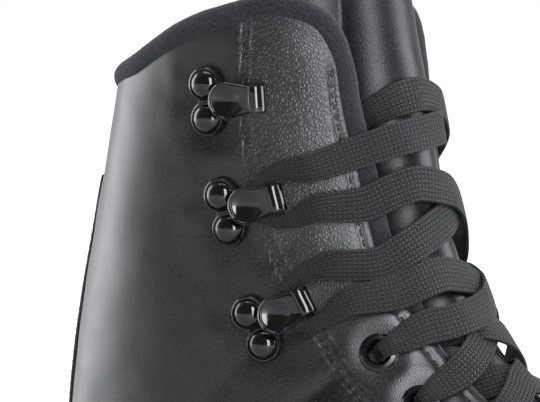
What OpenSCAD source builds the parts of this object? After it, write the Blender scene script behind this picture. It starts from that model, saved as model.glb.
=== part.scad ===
// Lace-up figure skate for the right foot: a padded ankle boot on a heeled sole,
// with a steel blade screwed underneath. Toe along +X, lateral side at -Y, ice at z = 0.

/* [Boot] */
// outside length of the upper, heel to toe
boot_length = 283; // [260:1:310]
// outside width of the upper across the ball of the foot
ball_width = 90; // [80:1:100]
// outside width of the shaft above the ankle
shaft_width = 68.4; // [62:0.2:76]
// height of the rear of the collar above the ball of the foot
collar_height = 179; // [160:1:200]
// rise of the heel seat above the ball of the foot
heel_rise = 34.5; // [26:0.5:42]

/* [Upper layers] */
// outer leather
leather_t = 1.8; // [1.4:0.1:2.2]
// foam and stiffener layer
padding_t = 2.4; // [1.8:0.1:3]
// textile lining
lining_t = 1.2; // [0.8:0.1:1.6]
// thickness of the raised strip up the back seam
backstay_t = 2.6; // [1.5:0.1:3.5]
// width of that strip, as an angle about the shaft axis
backstay_angle = 13; // [9:1:18]
// how far the felt binding stands above the cut edge
binding_h = 4.2; // [3:0.1:5]

/* [Lacing] */
// clear hole through an eyelet
eyelet_hole = 5.6; // [5:0.1:6.4]
// outside of the eyelet flange
eyelet_flange = 10; // [9:0.1:11]
// distance between the two rivets of a hook
hook_rivet_gap = 9; // [8:0.1:10]
// rivet shank diameter
rivet_d = 3.2; // [2.6:0.1:3.6]
// height of the hook tab above the leather
hook_h = 5; // [4.4:0.1:6]
// flat lace width
lace_w = 9; // [7:0.5:9.5]
// lace thickness
lace_t = 1.2; // [0.9:0.1:1.4]

/* [Tongue] */
// clearance between the inside of the wall and the tongue's edge
tongue_gap = 3.8; // [3.6:0.1:4.6]
// how far the tongue swells up between the facings
tongue_crown = 8; // [6:0.1:8.2]
// tongue foam thickness
tongue_foam_t = 5; // [3:0.5:6]
// half width of the tongue, as an angle about the shaft axis
tongue_angle = 62; // [52:1:66]

/* [Sole and heel] */
// thickness of the sole under the ball
sole_t = 8; // [6:0.5:10]
// how far the sole stands out around the upper
welt = 2.4; // [1.5:0.1:3]
// height of the sole lip around the lower edge of the upper
lip_h = 3; // [2:0.5:5]
// thickness of the rubber layer under the heel
heel_lift_t = 5; // [4:0.5:8]

/* [Blade] */
// runner thickness
blade_t = 4; // [3:0.1:5]
// height of the blade plates above the ice
blade_h = 51.5; // [44:0.5:60]
// height of the runner bar
runner_h = 20; // [16:0.5:24]
// radius of the long rocker
rocker_r = 2134; // [1800:1:2500]
// thickness of the mounting plates
plate_t = 2.5; // [2:0.1:3.5]
// mounting screw shank diameter
screw_d = 4.2; // [3.5:0.1:5]

/* [Hidden] */

// colours
c_leather = [0.13, 0.13, 0.14];
c_felt = [0.09, 0.09, 0.09];
c_textile = [0.16, 0.16, 0.17];
c_foam = [0.30, 0.30, 0.30];
c_board = [0.55, 0.45, 0.33];
c_rubber = [0.08, 0.08, 0.08];
c_enamel = [0.04, 0.04, 0.04];
c_steel = [0.76, 0.77, 0.79];
c_lace = [0.10, 0.10, 0.10];

// layer offsets from the outer leather surface
o_pad = -leather_t;
o_lin = -leather_t - padding_t;
o_in = o_lin - lining_t;
board_t = 2;
footbed_t = 3.6;
gap = 0.3;
glue_t = 0.15;
tongue_drop = tongue_gap - o_in;

// levels
z_ball = blade_h + plate_t + sole_t;
z_plate = blade_h + plate_t;

// scale of the tabled shape to the driving sizes
kx = boot_length / 283;
kz = collar_height / 179;
kb = heel_rise / 34.5;
kw = ball_width / 90;
ks = shaft_width / 68.4;

// a station's lower point: under the foot it follows the heel rise,
// up the back of the heel it runs on to the collar
function low_z(z) = z_ball + (z <= 34.5 ? z * kb
    : heel_rise + (z - 34.5) * (collar_height - heel_rise) / 144.5);

// stations of the upper, toe to collar:
// front x, front z, rear x, rear z, half width, side shift, skew, front and rear roundness
// (heights are above the ball of the foot)
function st(fx, fz, rx, rz, w, y, k, nf, nr, shaft) =
    [fx * kx, z_ball + fz * kz, rx * kx, low_z(rz), w * (shaft ? ks : kw), y, k, nf, nr];
ST = [
    st(142, 14, 142, 5, 3, 7, 0, 2, 2.2, false),
    st(140, 25, 140, 0.6, 17, 6.5, -0.05, 2.1, 2.6, false),
    st(133, 35, 133, 0, 28.5, 5.5, -0.1, 2.2, 3.2, false),
    st(119, 42, 119, 0, 37, 3.5, -0.2, 2.2, 4, false),
    st(96, 48, 96, 0, 43, 1, -0.25, 2.1, 4.5, false),
    st(68, 55, 62, 0, 45, -0.4, -0.25, 2, 4.5, false),
    st(42, 65, 26, 1, 41, -1, -0.2, 2, 4.5, false),
    st(19, 78, -14, 12, 36.5, -0.8, -0.15, 2, 4, false),
    st(1, 92, -56, 26, 33.8, -0.6, -0.1, 2, 3.6, true),
    st(-13, 107, -98, 32.5, 33.6, -0.6, -0.05, 2, 3, true),
    st(-23, 126, -130, 34.5, 34.4, -0.5, 0, 2, 2.2, true),
    st(-29.5, 145, -141, 56, 34.6, -0.3, 0, 2, 2.05, true),
    st(-33, 164, -140, 93, 34.2, 0, 0, 2.05, 2, true),
    st(-36, 182, -132.5, 136, 34.2, 0, 0, 2.1, 2, true),
    st(-37, 200, -123, 179, 34.4, 0, 0, 2.1, 2.05, true),
    st(-37.5, 218, -114, 222, 35, 0, 0, 2.1, 2.1, true)];
NT = len(ST) - 1;
toe_st = 4;
toe_c = [ST[toe_st][0], ST[toe_st][5], (ST[toe_st][1] + ST[toe_st][3]) / 2];

// station row at any t, by a smooth curve through the table
function row(t) = let (i = max(0, min(floor(t), NT - 1)), f = t - i, p1 = ST[i], p2 = ST[i + 1],
    p0 = i == 0 ? 2 * p1 - p2 : ST[i - 1], p3 = i == NT - 1 ? 2 * p2 - p1 : ST[i + 2])
    0.5 * (2 * p1 + (p2 - p0) * f + (2 * p0 - 5 * p1 + 4 * p2 - p3) * f * f
    + (3 * p1 - p0 - 3 * p2 + p3) * f * f * f);

// point of a station section at angle a (0 front, 180 rear, negative lateral)
function section(r, a, kh, kv) = let (c = cos(a), s = sin(a), n = c >= 0 ? r[7] : r[8],
    h0 = sign(c) * pow(abs(c), 2 / n), h = h0 + r[6] * (1 - h0 * h0), b = pow(abs(s), 2 / n))
    [(r[0] + r[2]) / 2 + (r[0] - r[2]) / 2 * h * kh,
     r[5] + (s >= 0 ? 1 : -1) * r[4] * b * kv,
     (r[1] + r[3]) / 2 + (r[1] - r[3]) / 2 * h * kh];

function half_h(r) = norm([r[0] - r[2], r[1] - r[3]]) / 2;

// point of the upper at t and a, offset o from the leather surface (negative is inward);
// ahead of the ball the layers close round the toe
function surf(t, a, o = 0) = t >= toe_st
    ? let (r = row(t)) section(r, a, 1 + o / half_h(r), 1 + o / r[4])
    : let (p = section(row(t), a, 1, 1) - toe_c, q = ST[toe_st])
        toe_c + [p[0] * (1 + o / (ST[0][0] - toe_c[0])), p[1] * (1 + o / q[4]),
                 p[2] * (1 + o / half_h(q))];

function unit(v) = v / max(norm(v), 1e-9);
function normal(t, a) = unit(cross(surf(t, a + 1) - surf(t, a - 1),
    surf(min(t + 0.05, NT), a) - surf(t - 0.05, a)));

// edge of the throat opening (angle from the front line), by t
THROAT = [[5.8, 2], [6, 9], [6.25, 14], [6.6, 18], [7, 20], [7.5, 21.5], [8, 22.5], [8.55, 24],
    [9, 25], [9.77, 28.25], [10.48, 32], [11, 33], [11.65, 34.5], [12.38, 37.5], [13, 39.5], [16, 39.5]];
function throat(t) = lookup(t, THROAT);

// collar line: t against v, v running from the throat edge (0) to the back seam (1)
COLLAR = [[0, 13], [0.012, 13.27], [0.03, 13.5], [0.06, 13.74], [0.1, 13.88], [0.146, 13.98],
    [0.203, 14.07], [0.38, 14.05], [0.51, 13.97], [0.645, 13.89], [1, 13.87]];

// grid of the quarters
t_seam = 5.8;
VS = [0, 0.012, 0.03, 0.06, 0.1, 0.15, 0.2, 0.25, 0.3, 0.35, 0.4,
    0.46, 0.52, 0.58, 0.65, 0.72, 0.79, 0.86, 0.93, 1];
rows_q = 17;
v_facing = 10;
v_counter = 13;
u_counter = 13;
v_last = len(VS) - 1;
function grid_t(i, j) = t_seam + (lookup(VS[j], COLLAR) - t_seam) * i / rows_q;
function grid_a(i, j) = let (t = grid_t(i, j)) throat(t) + (180 - throat(t)) * VS[j];
function grid_p(i, j, o, s) = surf(grid_t(i, j), s * grid_a(i, j), o);

// faces of a closed slab between two point grids of m rows and n columns;
// from column mid on, the quads are cut along their other diagonal
function slab_faces(m, n, flip, mid) = let (k = m * n,
    top = [for (i = [0 : m - 2], j = [0 : n - 2]) let (a = i * n + j)
        each (j < mid ? [[a, a + n, a + n + 1], [a, a + n + 1, a + 1]]
            : [[a, a + n, a + 1], [a + 1, a + n, a + n + 1]])],
    bot = [for (f = top) [f[2] + k, f[1] + k, f[0] + k]],
    edge = concat([for (j = [0 : n - 2]) [j, j + 1]],
        [for (i = [0 : m - 2]) [i * n + n - 1, (i + 1) * n + n - 1]],
        [for (j = [n - 2 : -1 : 0]) [(m - 1) * n + j + 1, (m - 1) * n + j]],
        [for (i = [m - 2 : -1 : 0]) [(i + 1) * n, i * n]]),
    rim = [for (e = edge) each [[e[0], e[1], e[1] + k], [e[0], e[1] + k, e[0] + k]]],
    all = concat(top, bot, rim))
    flip ? [for (f = all) [f[2], f[1], f[0]]] : all;

module slab(outer, inner, flip = false, mid = 1000) {
    m = len(outer);
    n = len(outer[0]);
    polyhedron(points = concat([for (r = outer) each r], [for (r = inner) each r]),
        faces = slab_faces(m, n, flip, mid));
}

// part of one quarter's grid between offsets o1 (outer) and o2 (inner)
module quarter_slab(s, i0, i1, j0, j1, o1, o2) {
    slab([for (i = [i0 : i1]) [for (j = [j0 : j1]) grid_p(i, j, o1, s)]],
         [for (i = [i0 : i1]) [for (j = [j0 : j1]) grid_p(i, j, o2, s)]], s < 0);
}

// the same across both quarters, joined at the back seam
module wrap_slab(i0, i1, j0, o1, o2) {
    cols = concat([for (j = [j0 : v_last]) [j, 1]], [for (j = [v_last - 1 : -1 : j0]) [j, -1]]);
    slab([for (i = [i0 : i1]) [for (c = cols) grid_p(i, c[0], o1, c[1])]],
         [for (i = [i0 : i1]) [for (c = cols) grid_p(i, c[0], o2, c[1])]], mid = v_last - j0);
}

// rings round the forefoot use the quarters' angles at the vamp seam, medial side first
RING = concat([for (j = [0 : v_last]) grid_a(0, j)], [for (j = [v_last - 1 : -1 : 0]) 360 - grid_a(0, j)]);
ring_n = len(RING);
function ring_wall(m) = let (n = ring_n) [for (i = [0 : m - 2], j = [0 : n - 1])
    let (a = i * n + j, b = i * n + (j + 1) % n)
    each (j < v_last ? [[a, a + n, b + n], [a, b + n, b]] : [[a, a + n, b], [b, a + n, b + n]])];
function inside(faces, k) = [for (f = faces) [f[2] + k, f[1] + k, f[0] + k]];
function ring_rim(i, k) = let (n = ring_n) [for (j = [0 : n - 1]) let (a = i * n + j, b = i * n + (j + 1) % n)
    each [[a, a + k, b + k], [a, b + k, b]]];
function ring_fan(apex, i) = let (n = ring_n) [for (j = [0 : n - 1]) [apex, i * n + j, i * n + (j + 1) % n]];
function flip_faces(faces) = inside(faces, 0);

// closed cup round the toe: rings at the given t, offsets o1 and o2, closed at the tip
function tip(o) = toe_c + [(ST[0][0] + 0.3 - toe_c[0]) * (1 + o / (ST[0][0] - toe_c[0])),
    ST[0][5] - toe_c[1], (ST[0][1] + ST[0][3]) / 2 - toe_c[2]];
module cup(ts, o1, o2) {
    m = len(ts);
    k = m * ring_n;
    polyhedron(points = concat([for (t = ts, a = RING) surf(t, a, o1)],
        [for (t = ts, a = RING) surf(t, a, o2)],
        [tip(o1), tip(o2)]), faces = concat(ring_wall(m), inside(ring_wall(m), k), ring_rim(m - 1, k),
        ring_fan(2 * k, 0), flip_faces(ring_fan(2 * k + 1, m))));
}

// open band round the forefoot between two stations
module band(ts, o1, o2) {
    m = len(ts);
    k = m * ring_n;
    polyhedron(points = concat([for (t = ts, a = RING) surf(t, a, o1)],
        [for (t = ts, a = RING) surf(t, a, o2)]),
        faces = concat(ring_wall(m), inside(ring_wall(m), k),
            flip_faces(ring_rim(0, k)), ring_rim(m - 1, k)));
}

t_puff = 2.5;
TS_TOE = [0, 0.5, 1, 1.5, 2, t_puff];
TS_MID = [t_puff, 3, 3.6, 4, 4.6, 5.2, t_seam];
TS_VAMP = concat(TS_TOE, [for (k = [1 : len(TS_MID) - 1]) TS_MID[k]]);

// the outside of the lower boot as one solid, used to seat the sole
seat_rows = 12;
module last_solid() {
    m = len(TS_VAMP) + seat_rows;
    c = row(grid_t(seat_rows, v_last));
    polyhedron(points = concat([for (t = TS_VAMP, a = RING) surf(t, a, glue_t)],
        [for (i = [1 : seat_rows]) each concat([for (j = [0 : v_last]) grid_p(i, j, glue_t, 1)],
            [for (j = [v_last - 1 : -1 : 0]) grid_p(i, j, glue_t, -1)])],
        [tip(glue_t), [(c[0] + c[2]) / 2, c[5], (c[1] + c[3]) / 2]]),
        faces = concat(ring_wall(m), ring_fan(m * ring_n, 0), flip_faces(ring_fan(m * ring_n + 1, m - 1))));
}

module vamp() {
    color(c_leather) cup(TS_VAMP, 0, o_pad);
}
module toe_puff() {
    color(c_board) cup(TS_TOE, o_pad, o_lin);
}
module vamp_padding() {
    color(c_foam) band(TS_MID, o_pad, o_lin);
}
module vamp_lining() {
    color(c_textile) cup(TS_VAMP, o_lin, o_in);
}

// holes through one side's facing: eyelets and hook rivets
module side_holes(s) {
    for (k = [0 : len(EYELETS) - 1])
        at_eyelet(k, s) translate([0, 0, -9]) cylinder(d = barrel_d, h = 14, $fn = 24);
    for (k = [0 : len(HOOKS) - 1], e = [-1, 1])
        at_hook(k, s) translate([-rivet_x, e * hook_rivet_gap / 2, -9])
            cylinder(d = rivet_d, h = 14, $fn = 20);
}

module quarter_lateral() {
    color(c_leather) difference() {
        quarter_slab(-1, 0, rows_q, 0, v_last, 0, o_pad);
        side_holes(-1);
    }
}
module quarter_medial() {
    color(c_leather) difference() {
        quarter_slab(1, 0, rows_q, 0, v_last, 0, o_pad);
        side_holes(1);
    }
}
module facing_lateral() {
    color(c_leather) difference() {
        quarter_slab(-1, 0, rows_q, 0, v_facing, o_pad, o_in);
        side_holes(-1);
    }
}
module facing_medial() {
    color(c_leather) difference() {
        quarter_slab(1, 0, rows_q, 0, v_facing, o_pad, o_in);
        side_holes(1);
    }
}
module ankle_padding_lateral() {
    color(c_foam) quarter_slab(-1, 0, rows_q, v_facing, v_counter, o_pad, o_lin);
}
module ankle_padding_medial() {
    color(c_foam) quarter_slab(1, 0, rows_q, v_facing, v_counter, o_pad, o_lin);
}
module collar_padding() {
    color(c_foam) wrap_slab(u_counter, rows_q, v_counter, o_pad, o_lin);
}
module heel_counter() {
    color(c_board) wrap_slab(0, u_counter, v_counter, o_pad, o_lin);
}
module quarter_lining() {
    color(c_textile) wrap_slab(0, rows_q, v_facing, o_lin, o_in);
}

// felt binding rolled over the cut edge: its path runs up the lateral throat edge,
// round the collar and down the medial throat edge
bind_row = 9;
BIND = concat([for (i = [bind_row : rows_q - 1]) [i, 0, -1]], [for (j = [0 : v_last]) [rows_q, j, -1]],
    [for (j = [v_last - 1 : -1 : 0]) [rows_q, j, 1]], [for (i = [rows_q - 1 : -1 : bind_row]) [i, 0, 1]]);
function bind_p(k, o) = let (b = BIND[k]) grid_p(b[0], b[1], o, b[2]);
// one section: distance out from the edge, and depth through the thickness
function bind_sec(k) = let (n = len(BIND), p = bind_p(k, 0), q = bind_p(k, o_in), d = norm(p - q),
    b = (p - q) / d, tan0 = unit(bind_p(min(k + 1, n - 1), 0) - bind_p(max(k - 1, 0), 0)),
    out = unit(cross(tan0, b)),
    h = binding_h * (k == 0 || k == n - 1 ? 0.35 : k == 1 || k == n - 2 ? 0.75 : 1),
    bulge = 1.1, sec = [[0, -d], [0.1 * h, -d - bulge], [0.55 * h, -d - bulge], [0.87 * h, -d], [h, -d / 2],
        [0.87 * h, 0], [0.55 * h, bulge], [0.1 * h, bulge], [0, 0]])
    [for (s = sec) p + out * s[0] + b * s[1]];
module sweep(secs) {
    m = len(secs);
    n = len(secs[0]);
    polyhedron(points = [for (s = secs) each s], faces = concat(
        [for (i = [0 : m - 2], j = [0 : n - 1]) let (a = i * n + j, b = i * n + (j + 1) % n)
            each [[a, b, b + n], [a, b + n, a + n]]],
        [for (j = [1 : n - 2]) [0, j + 1, j]],
        [for (j = [1 : n - 2]) let (e = (m - 1) * n) [e, e + j, e + j + 1]]));
}
module collar_binding() {
    color(c_felt) sweep([for (k = [0 : len(BIND) - 1]) bind_sec(k)]);
}

// raised strip up the back seam
t_backstay0 = 10.3;
t_backstay = 13.3;
module backstay() {
    ts = [for (k = [0 : 12]) t_backstay0 + (t_backstay - t_backstay0) * k / 12];
    as = [for (k = [-3 : 3]) 180 + backstay_angle * k / 3];
    color(c_felt) slab(
        [for (i = [0 : 12]) [for (k = [0 : 6]) surf(ts[i], as[k],
            (i == 0 || i == 12 || k == 0 || k == 6) ? 0.5 * backstay_t + gap : backstay_t + gap)]],
        [for (i = [0 : 12]) [for (k = [0 : 6]) surf(ts[i], as[k], gap)]]);
}

// board and footbed inside, across the bottom, on one grid of angles
BOTTOM_A = [140, 145, 150, 156, 162, 171, 180, 189, 198, 204, 210, 215, 220];
module bottom_slab(skip, o1, o2) {
    ts = [for (k = [0 : 12]) 1 + (9.8 - 1) * k / 12];
    as = [for (k = [skip : len(BOTTOM_A) - 1 - skip]) BOTTOM_A[k]];
    slab([for (t = ts) [for (a = as) surf(t, a, o1)]], [for (t = ts) [for (a = as) surf(t, a, o2)]]);
}
board_gap = 0.8;
module insole_board() {
    color(c_board) bottom_slab(0, o_in - board_gap, o_in - board_gap - board_t);
}
module footbed() {
    color(c_textile) bottom_slab(1, o_in - board_gap - board_t, o_in - board_gap - board_t - footbed_t);
}

// tongue: sinks under the facings, swells up between them, leans in above the collar
t_tongue0 = 5;
t_tongue1 = 14.75;
TONGUE_T = [t_tongue0, 5.5, 6, 6.5, 7, 7.5, 8, 8.5, 9, 9.5,
    10, 10.5, 11, 11.5, 12, 12.5, 13, 13.5, 14, 14.3, 14.5,
    14.65, t_tongue1];
TONGUE_A = [-1, -0.84, -0.64, -0.42, -0.2, 0, 0.2, 0.42, 0.64, 0.84, 1];
function tongue_edge(t) = throat(t) + lookup(t, [[9.4, 2], [10.4, -6], [16, -6]]);
function tongue_o(t, a) = let (e = tongue_edge(t), q = min(1, abs(a) / e),
    lean = lookup(t, [[12.8, 0], [13.4, 0.25], [14, 0.5], [t_tongue1, 1]]),
    rise = lookup(t, [[5.6, 0], [6.3, 0.25], [7.2, 0.8], [8, 1], [12.8, 1], [t_tongue1, 0.75]]))
    -tongue_drop + tongue_crown * rise * (1 - q * q) - 4 * lean;
function tongue_half(t) = tongue_angle * lookup(t,
    [[t_tongue0, 0.72], [6.5, 0.9], [8, 1], [14, 1], [14.3, 0.98],
    [14.5, 0.92], [14.65, 0.82], [t_tongue1, 0.62]]);
function tongue_grid(o) = [for (t = TONGUE_T)
    [for (q = TONGUE_A) let (a = q * tongue_half(t)) surf(t, a, tongue_o(t, a) + o)]];
tongue_skin = 1.4;
tongue_back = 1.2;
module tongue_outer() {
    color(c_leather) slab(tongue_grid(0), tongue_grid(-tongue_skin));
}
module tongue_foam() {
    color(c_foam) slab(tongue_grid(-tongue_skin), tongue_grid(-tongue_skin - tongue_foam_t));
}
module tongue_lining() {
    color(c_textile) slab(tongue_grid(-tongue_skin - tongue_foam_t),
        tongue_grid(-tongue_skin - tongue_foam_t - tongue_back));
}

// sole outline from above: both sides toe to heel, then round the heel
function xy(p) = [p[0], p[1]];
OUT_T = [0, 0.5, 1, 1.5, 2, 2.5, 3, 3.5, 4, 4.5, 5, 5.5, 6, 6.5, 7, 7.5, 8, 8.5, 9, 9.4];
function sole_outline(g) = concat(
    [for (t = OUT_T) xy(surf(t, -112, g))],
    [for (a = [-100 : -10 : -260]) xy(surf(10.9, a, g))],
    [for (k = [len(OUT_T) - 1 : -1 : 0]) xy(surf(OUT_T[k], 112, g))]);
// underside of the upper, as seen from the side
FOOT = [for (t = [1 : 0.5 : 9.5]) let (r = row(t)) [r[2], r[3]]];
x_toe = ST[0][0] + 10;
x_heel = ST[11][2] - 10;
function foot_line(dz) = concat([[x_toe, FOOT[0][1] + dz]], [for (p = FOOT) [p[0], max(p[1], z_ball) + dz]],
    [[x_heel, low_z(34.5) + dz]]);
function foot_line_back(dz) = let (p = foot_line(dz)) [for (k = [len(p) - 1 : -1 : 0]) p[k]];
module side_profile(pts) {
    translate([0, 100, 0]) rotate([90, 0, 0]) linear_extrude(200) polygon(pts);
}
module outsole() {
    color(c_rubber) difference() {
        intersection() {
            translate([0, 0, z_plate - 1]) linear_extrude(80) polygon(sole_outline(welt));
            side_profile(concat(foot_line(-sole_t), foot_line_back(lip_h)));
        }
        last_solid();
        sole_screw_holes();
    }
}

// heel under the rear of the sole
z_heel = z_plate;
x_breast = -80 * kx;
function under_sole() = [for (p = foot_line(-sole_t)) if (p[0] < x_breast + 14) p];
module heel_block() {
    low = z_heel + heel_lift_t;
    color(c_rubber) difference() {
        intersection() {
            translate([0, 0, z_heel]) linear_extrude(60) polygon(sole_outline(welt - 0.8));
            side_profile(concat(
                [[x_heel, low], [x_breast - 2, low], [x_breast + 2, low + 12]], under_sole()));
        }
        heel_screw_holes();
    }
}
module heel_lift() {
    color(c_rubber) difference() {
        intersection() {
            translate([0, 0, z_heel]) linear_extrude(heel_lift_t) polygon(sole_outline(welt - 1.2));
            translate([x_heel, -60, z_heel]) cube([x_breast - 3 - x_heel, 120, heel_lift_t]);
        }
        heel_screw_holes();
    }
}

// mounting plates
SOLE_SCREWS = [[112, 15], [112, -15], [80, 19], [80, -19], [50, 14], [50, -14]];
HEEL_SCREWS = [[-120, 11], [-120, -11], [-92, 14], [-92, -14]];
module screw_holes(pts, h) {
    for (p = pts)
        translate([p[0] * kx, p[1], z_plate - plate_t - 1])
            cylinder(d = screw_d, h = h + plate_t + 1, $fn = 24);
}
sole_screw_l = 6;
heel_screw_l = 16;
module sole_screw_holes() {
    screw_holes(SOLE_SCREWS, sole_screw_l);
}
module heel_screw_holes() {
    screw_holes(HEEL_SCREWS, heel_screw_l);
}
SOLE_PLATE = [[128, 0], [127, 8], [123, 15], [116, 20], [104, 24], [90, 26], [76, 26], [62, 23], [50, 20],
    [42, 16], [38, 10], [37, 0]];
HEEL_PLATE = [[-134, 0], [-133, 7], [-129, 14], [-122, 18.5], [-112, 21], [-98, 21],
    [-86, 19.5], [-83, 16], [-82, 0]];
function both(pts) = concat([for (p = pts) [p[0] * kx, p[1]]],
    [for (k = [len(pts) - 2 : -1 : 1]) [pts[k][0] * kx, -pts[k][1]]]);
module plate(pts, screws) {
    difference() {
        translate([0, 0, z_plate - plate_t]) linear_extrude(plate_t) polygon(both(pts));
        screw_holes(screws, 6);
    }
}
module sole_plate() {
    color(c_steel) plate(SOLE_PLATE, SOLE_SCREWS);
}
module heel_plate() {
    color(c_steel) plate(HEEL_PLATE, HEEL_SCREWS);
}
module screws(pts, l) {
    for (p = pts)
        translate([p[0] * kx, p[1], blade_h]) union() {
            cylinder(d = screw_d, h = plate_t + l, $fn = 24);
            translate([0, 0, -1.6]) cylinder(d1 = 5.6, d2 = 7.6, h = 1.6, $fn = 24);
        }
}
module sole_screws() {
    color(c_steel) screws(SOLE_SCREWS, sole_screw_l);
}
module heel_screws() {
    color(c_steel) screws(HEEL_SCREWS, heel_screw_l);
}

// blade: rockered runner, toe pick, front and rear stanchions
x_tail = -144.4;
x_low = 20;
x_spin = 82;
function ice(x) = let (d = x - x_low) d * d / (2 * rocker_r) + (x > x_spin ? pow(x - x_spin, 2) / 500 : 0);
PICK = [[119, 4.6], [120, 1.2], [123, 6.5], [126.5, 4.2], [127.5, 9.2],
    [131, 7.8], [131.4, 12.4], [134.6, 11.8],
    [134.4, 16.2], [137, 16.4], [136.6, 22], [135, 26]];
module blade() {
    bh = blade_h;
    rh = runner_h;
    pts = concat(
        [for (k = [0 : 24]) let (x = x_tail + 3 + (116 - x_tail - 3) * k / 24) [x * kx, ice(x)]],
        [for (p = PICK) [p[0] * kx, p[1]]],
        [[131 * kx, 31], [126 * kx, 37], [122 * kx, bh - 4], [121 * kx, bh]],
        [[46 * kx, bh], [46 * kx, bh - 3], [50 * kx, rh + 16], [46 * kx, rh + 9],
          [38 * kx, rh + 4], [26 * kx, rh + 1.5], [14 * kx, rh]],
        [[-66 * kx, rh + 1], [-78 * kx, rh + 3], [-86 * kx, rh + 8], [-89 * kx, rh + 15],
          [-88 * kx, bh - 4], [-86 * kx, bh]],
        [[-130 * kx, bh], [-129 * kx, bh - 4], [-124 * kx, rh + 14], [-124 * kx, rh + 7],
          [-129 * kx, rh + 2], [-138 * kx, rh - 1],
         [-143 * kx, rh - 5], [x_tail * kx, rh - 10], [x_tail * kx, 9]]);
    color(c_steel) translate([0, blade_t / 2, 0]) rotate([90, 0, 0]) linear_extrude(blade_t) difference() {
        polygon(pts);
        polygon([[66 * kx, rh + 6], [100 * kx, rh + 4], [108 * kx, rh + 9],
            [106 * kx, rh + 17], [98 * kx, rh + 22],
            [74 * kx, rh + 22], [66 * kx, rh + 17], [62 * kx, rh + 11]]);
    }
}

// frames on the leather: local X runs towards the throat, Y up the boot, Z outward
function frame(t, a, tilt) = let (n = normal(t, a), up = unit(surf(t + 0.05, a) - surf(t - 0.05, a)),
    fwd0 = unit(cross(up, n)), s = sign(a), fwd = s < 0 ? fwd0 : -fwd0,
    up2 = cross(n, fwd) * (s < 0 ? 1 : -1),
    e1 = fwd * cos(tilt) + up2 * sin(tilt), e2 = up2 * cos(tilt) - fwd * sin(tilt)) [surf(t, a), e1, e2, n];
module in_frame(f) {
    flip = f[1] * cross(f[2], f[3]) < 0 ? -1 : 1;
    multmatrix([[f[1][0], f[2][0] * flip, f[3][0], f[0][0]], [f[1][1], f[2][1] * flip, f[3][1], f[0][1]],
        [f[1][2], f[2][2] * flip, f[3][2], f[0][2]], [0, 0, 0, 1]]) children();
}

// eyelet and hook positions: t and angle; hooks also tilt
EYELETS = [[9.67, 44.5], [8.87, 43], [8.1, 41], [7.35, 40.5], [6.65, 40]];
HOOKS = [[13.3, 80.8, 10], [12.17, 72.8, 16], [10.83, 66, 14]];
function eyelet_frame(k, s) = frame(EYELETS[k][0], s * EYELETS[k][1], 0);
function hook_frame(k, s) = frame(HOOKS[k][0], s * HOOKS[k][1], HOOKS[k][2]);
module at_eyelet(k, s) {
    in_frame(eyelet_frame(k, s)) children();
}
module at_hook(k, s) {
    in_frame(hook_frame(k, s)) children();
}

stand = 0.3;
wall_in = -o_in;
barrel_d = eyelet_hole + 1.2;
washer_z = -wall_in - 0.45;
washer_t = 0.8;
module eyelet() {
    r = eyelet_hole / 2;
    f = eyelet_flange / 2;
    color(c_enamel) rotate_extrude($fn = 32) polygon([[r, washer_z - washer_t - 0.3],
        [r + 0.6, washer_z - washer_t - 0.3],
        [r + 0.6, stand], [f, stand], [f, stand + 0.5], [f - 0.7, stand + 1.1], [f - 1.6, stand + 1.2],
        [r + 0.5, stand + 0.9], [r, stand + 0.3]]);
}
module eyelet_washers() {
    color(c_steel) for (s = [-1, 1], k = [0 : len(EYELETS) - 1])
        at_eyelet(k, s) translate([0, 0, washer_z - washer_t]) difference() {
            cylinder(d = eyelet_flange - 0.4, h = washer_t, $fn = 32);
            translate([0, 0, -1]) cylinder(d = barrel_d, h = washer_t + 2, $fn = 32);
        }
}

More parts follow.
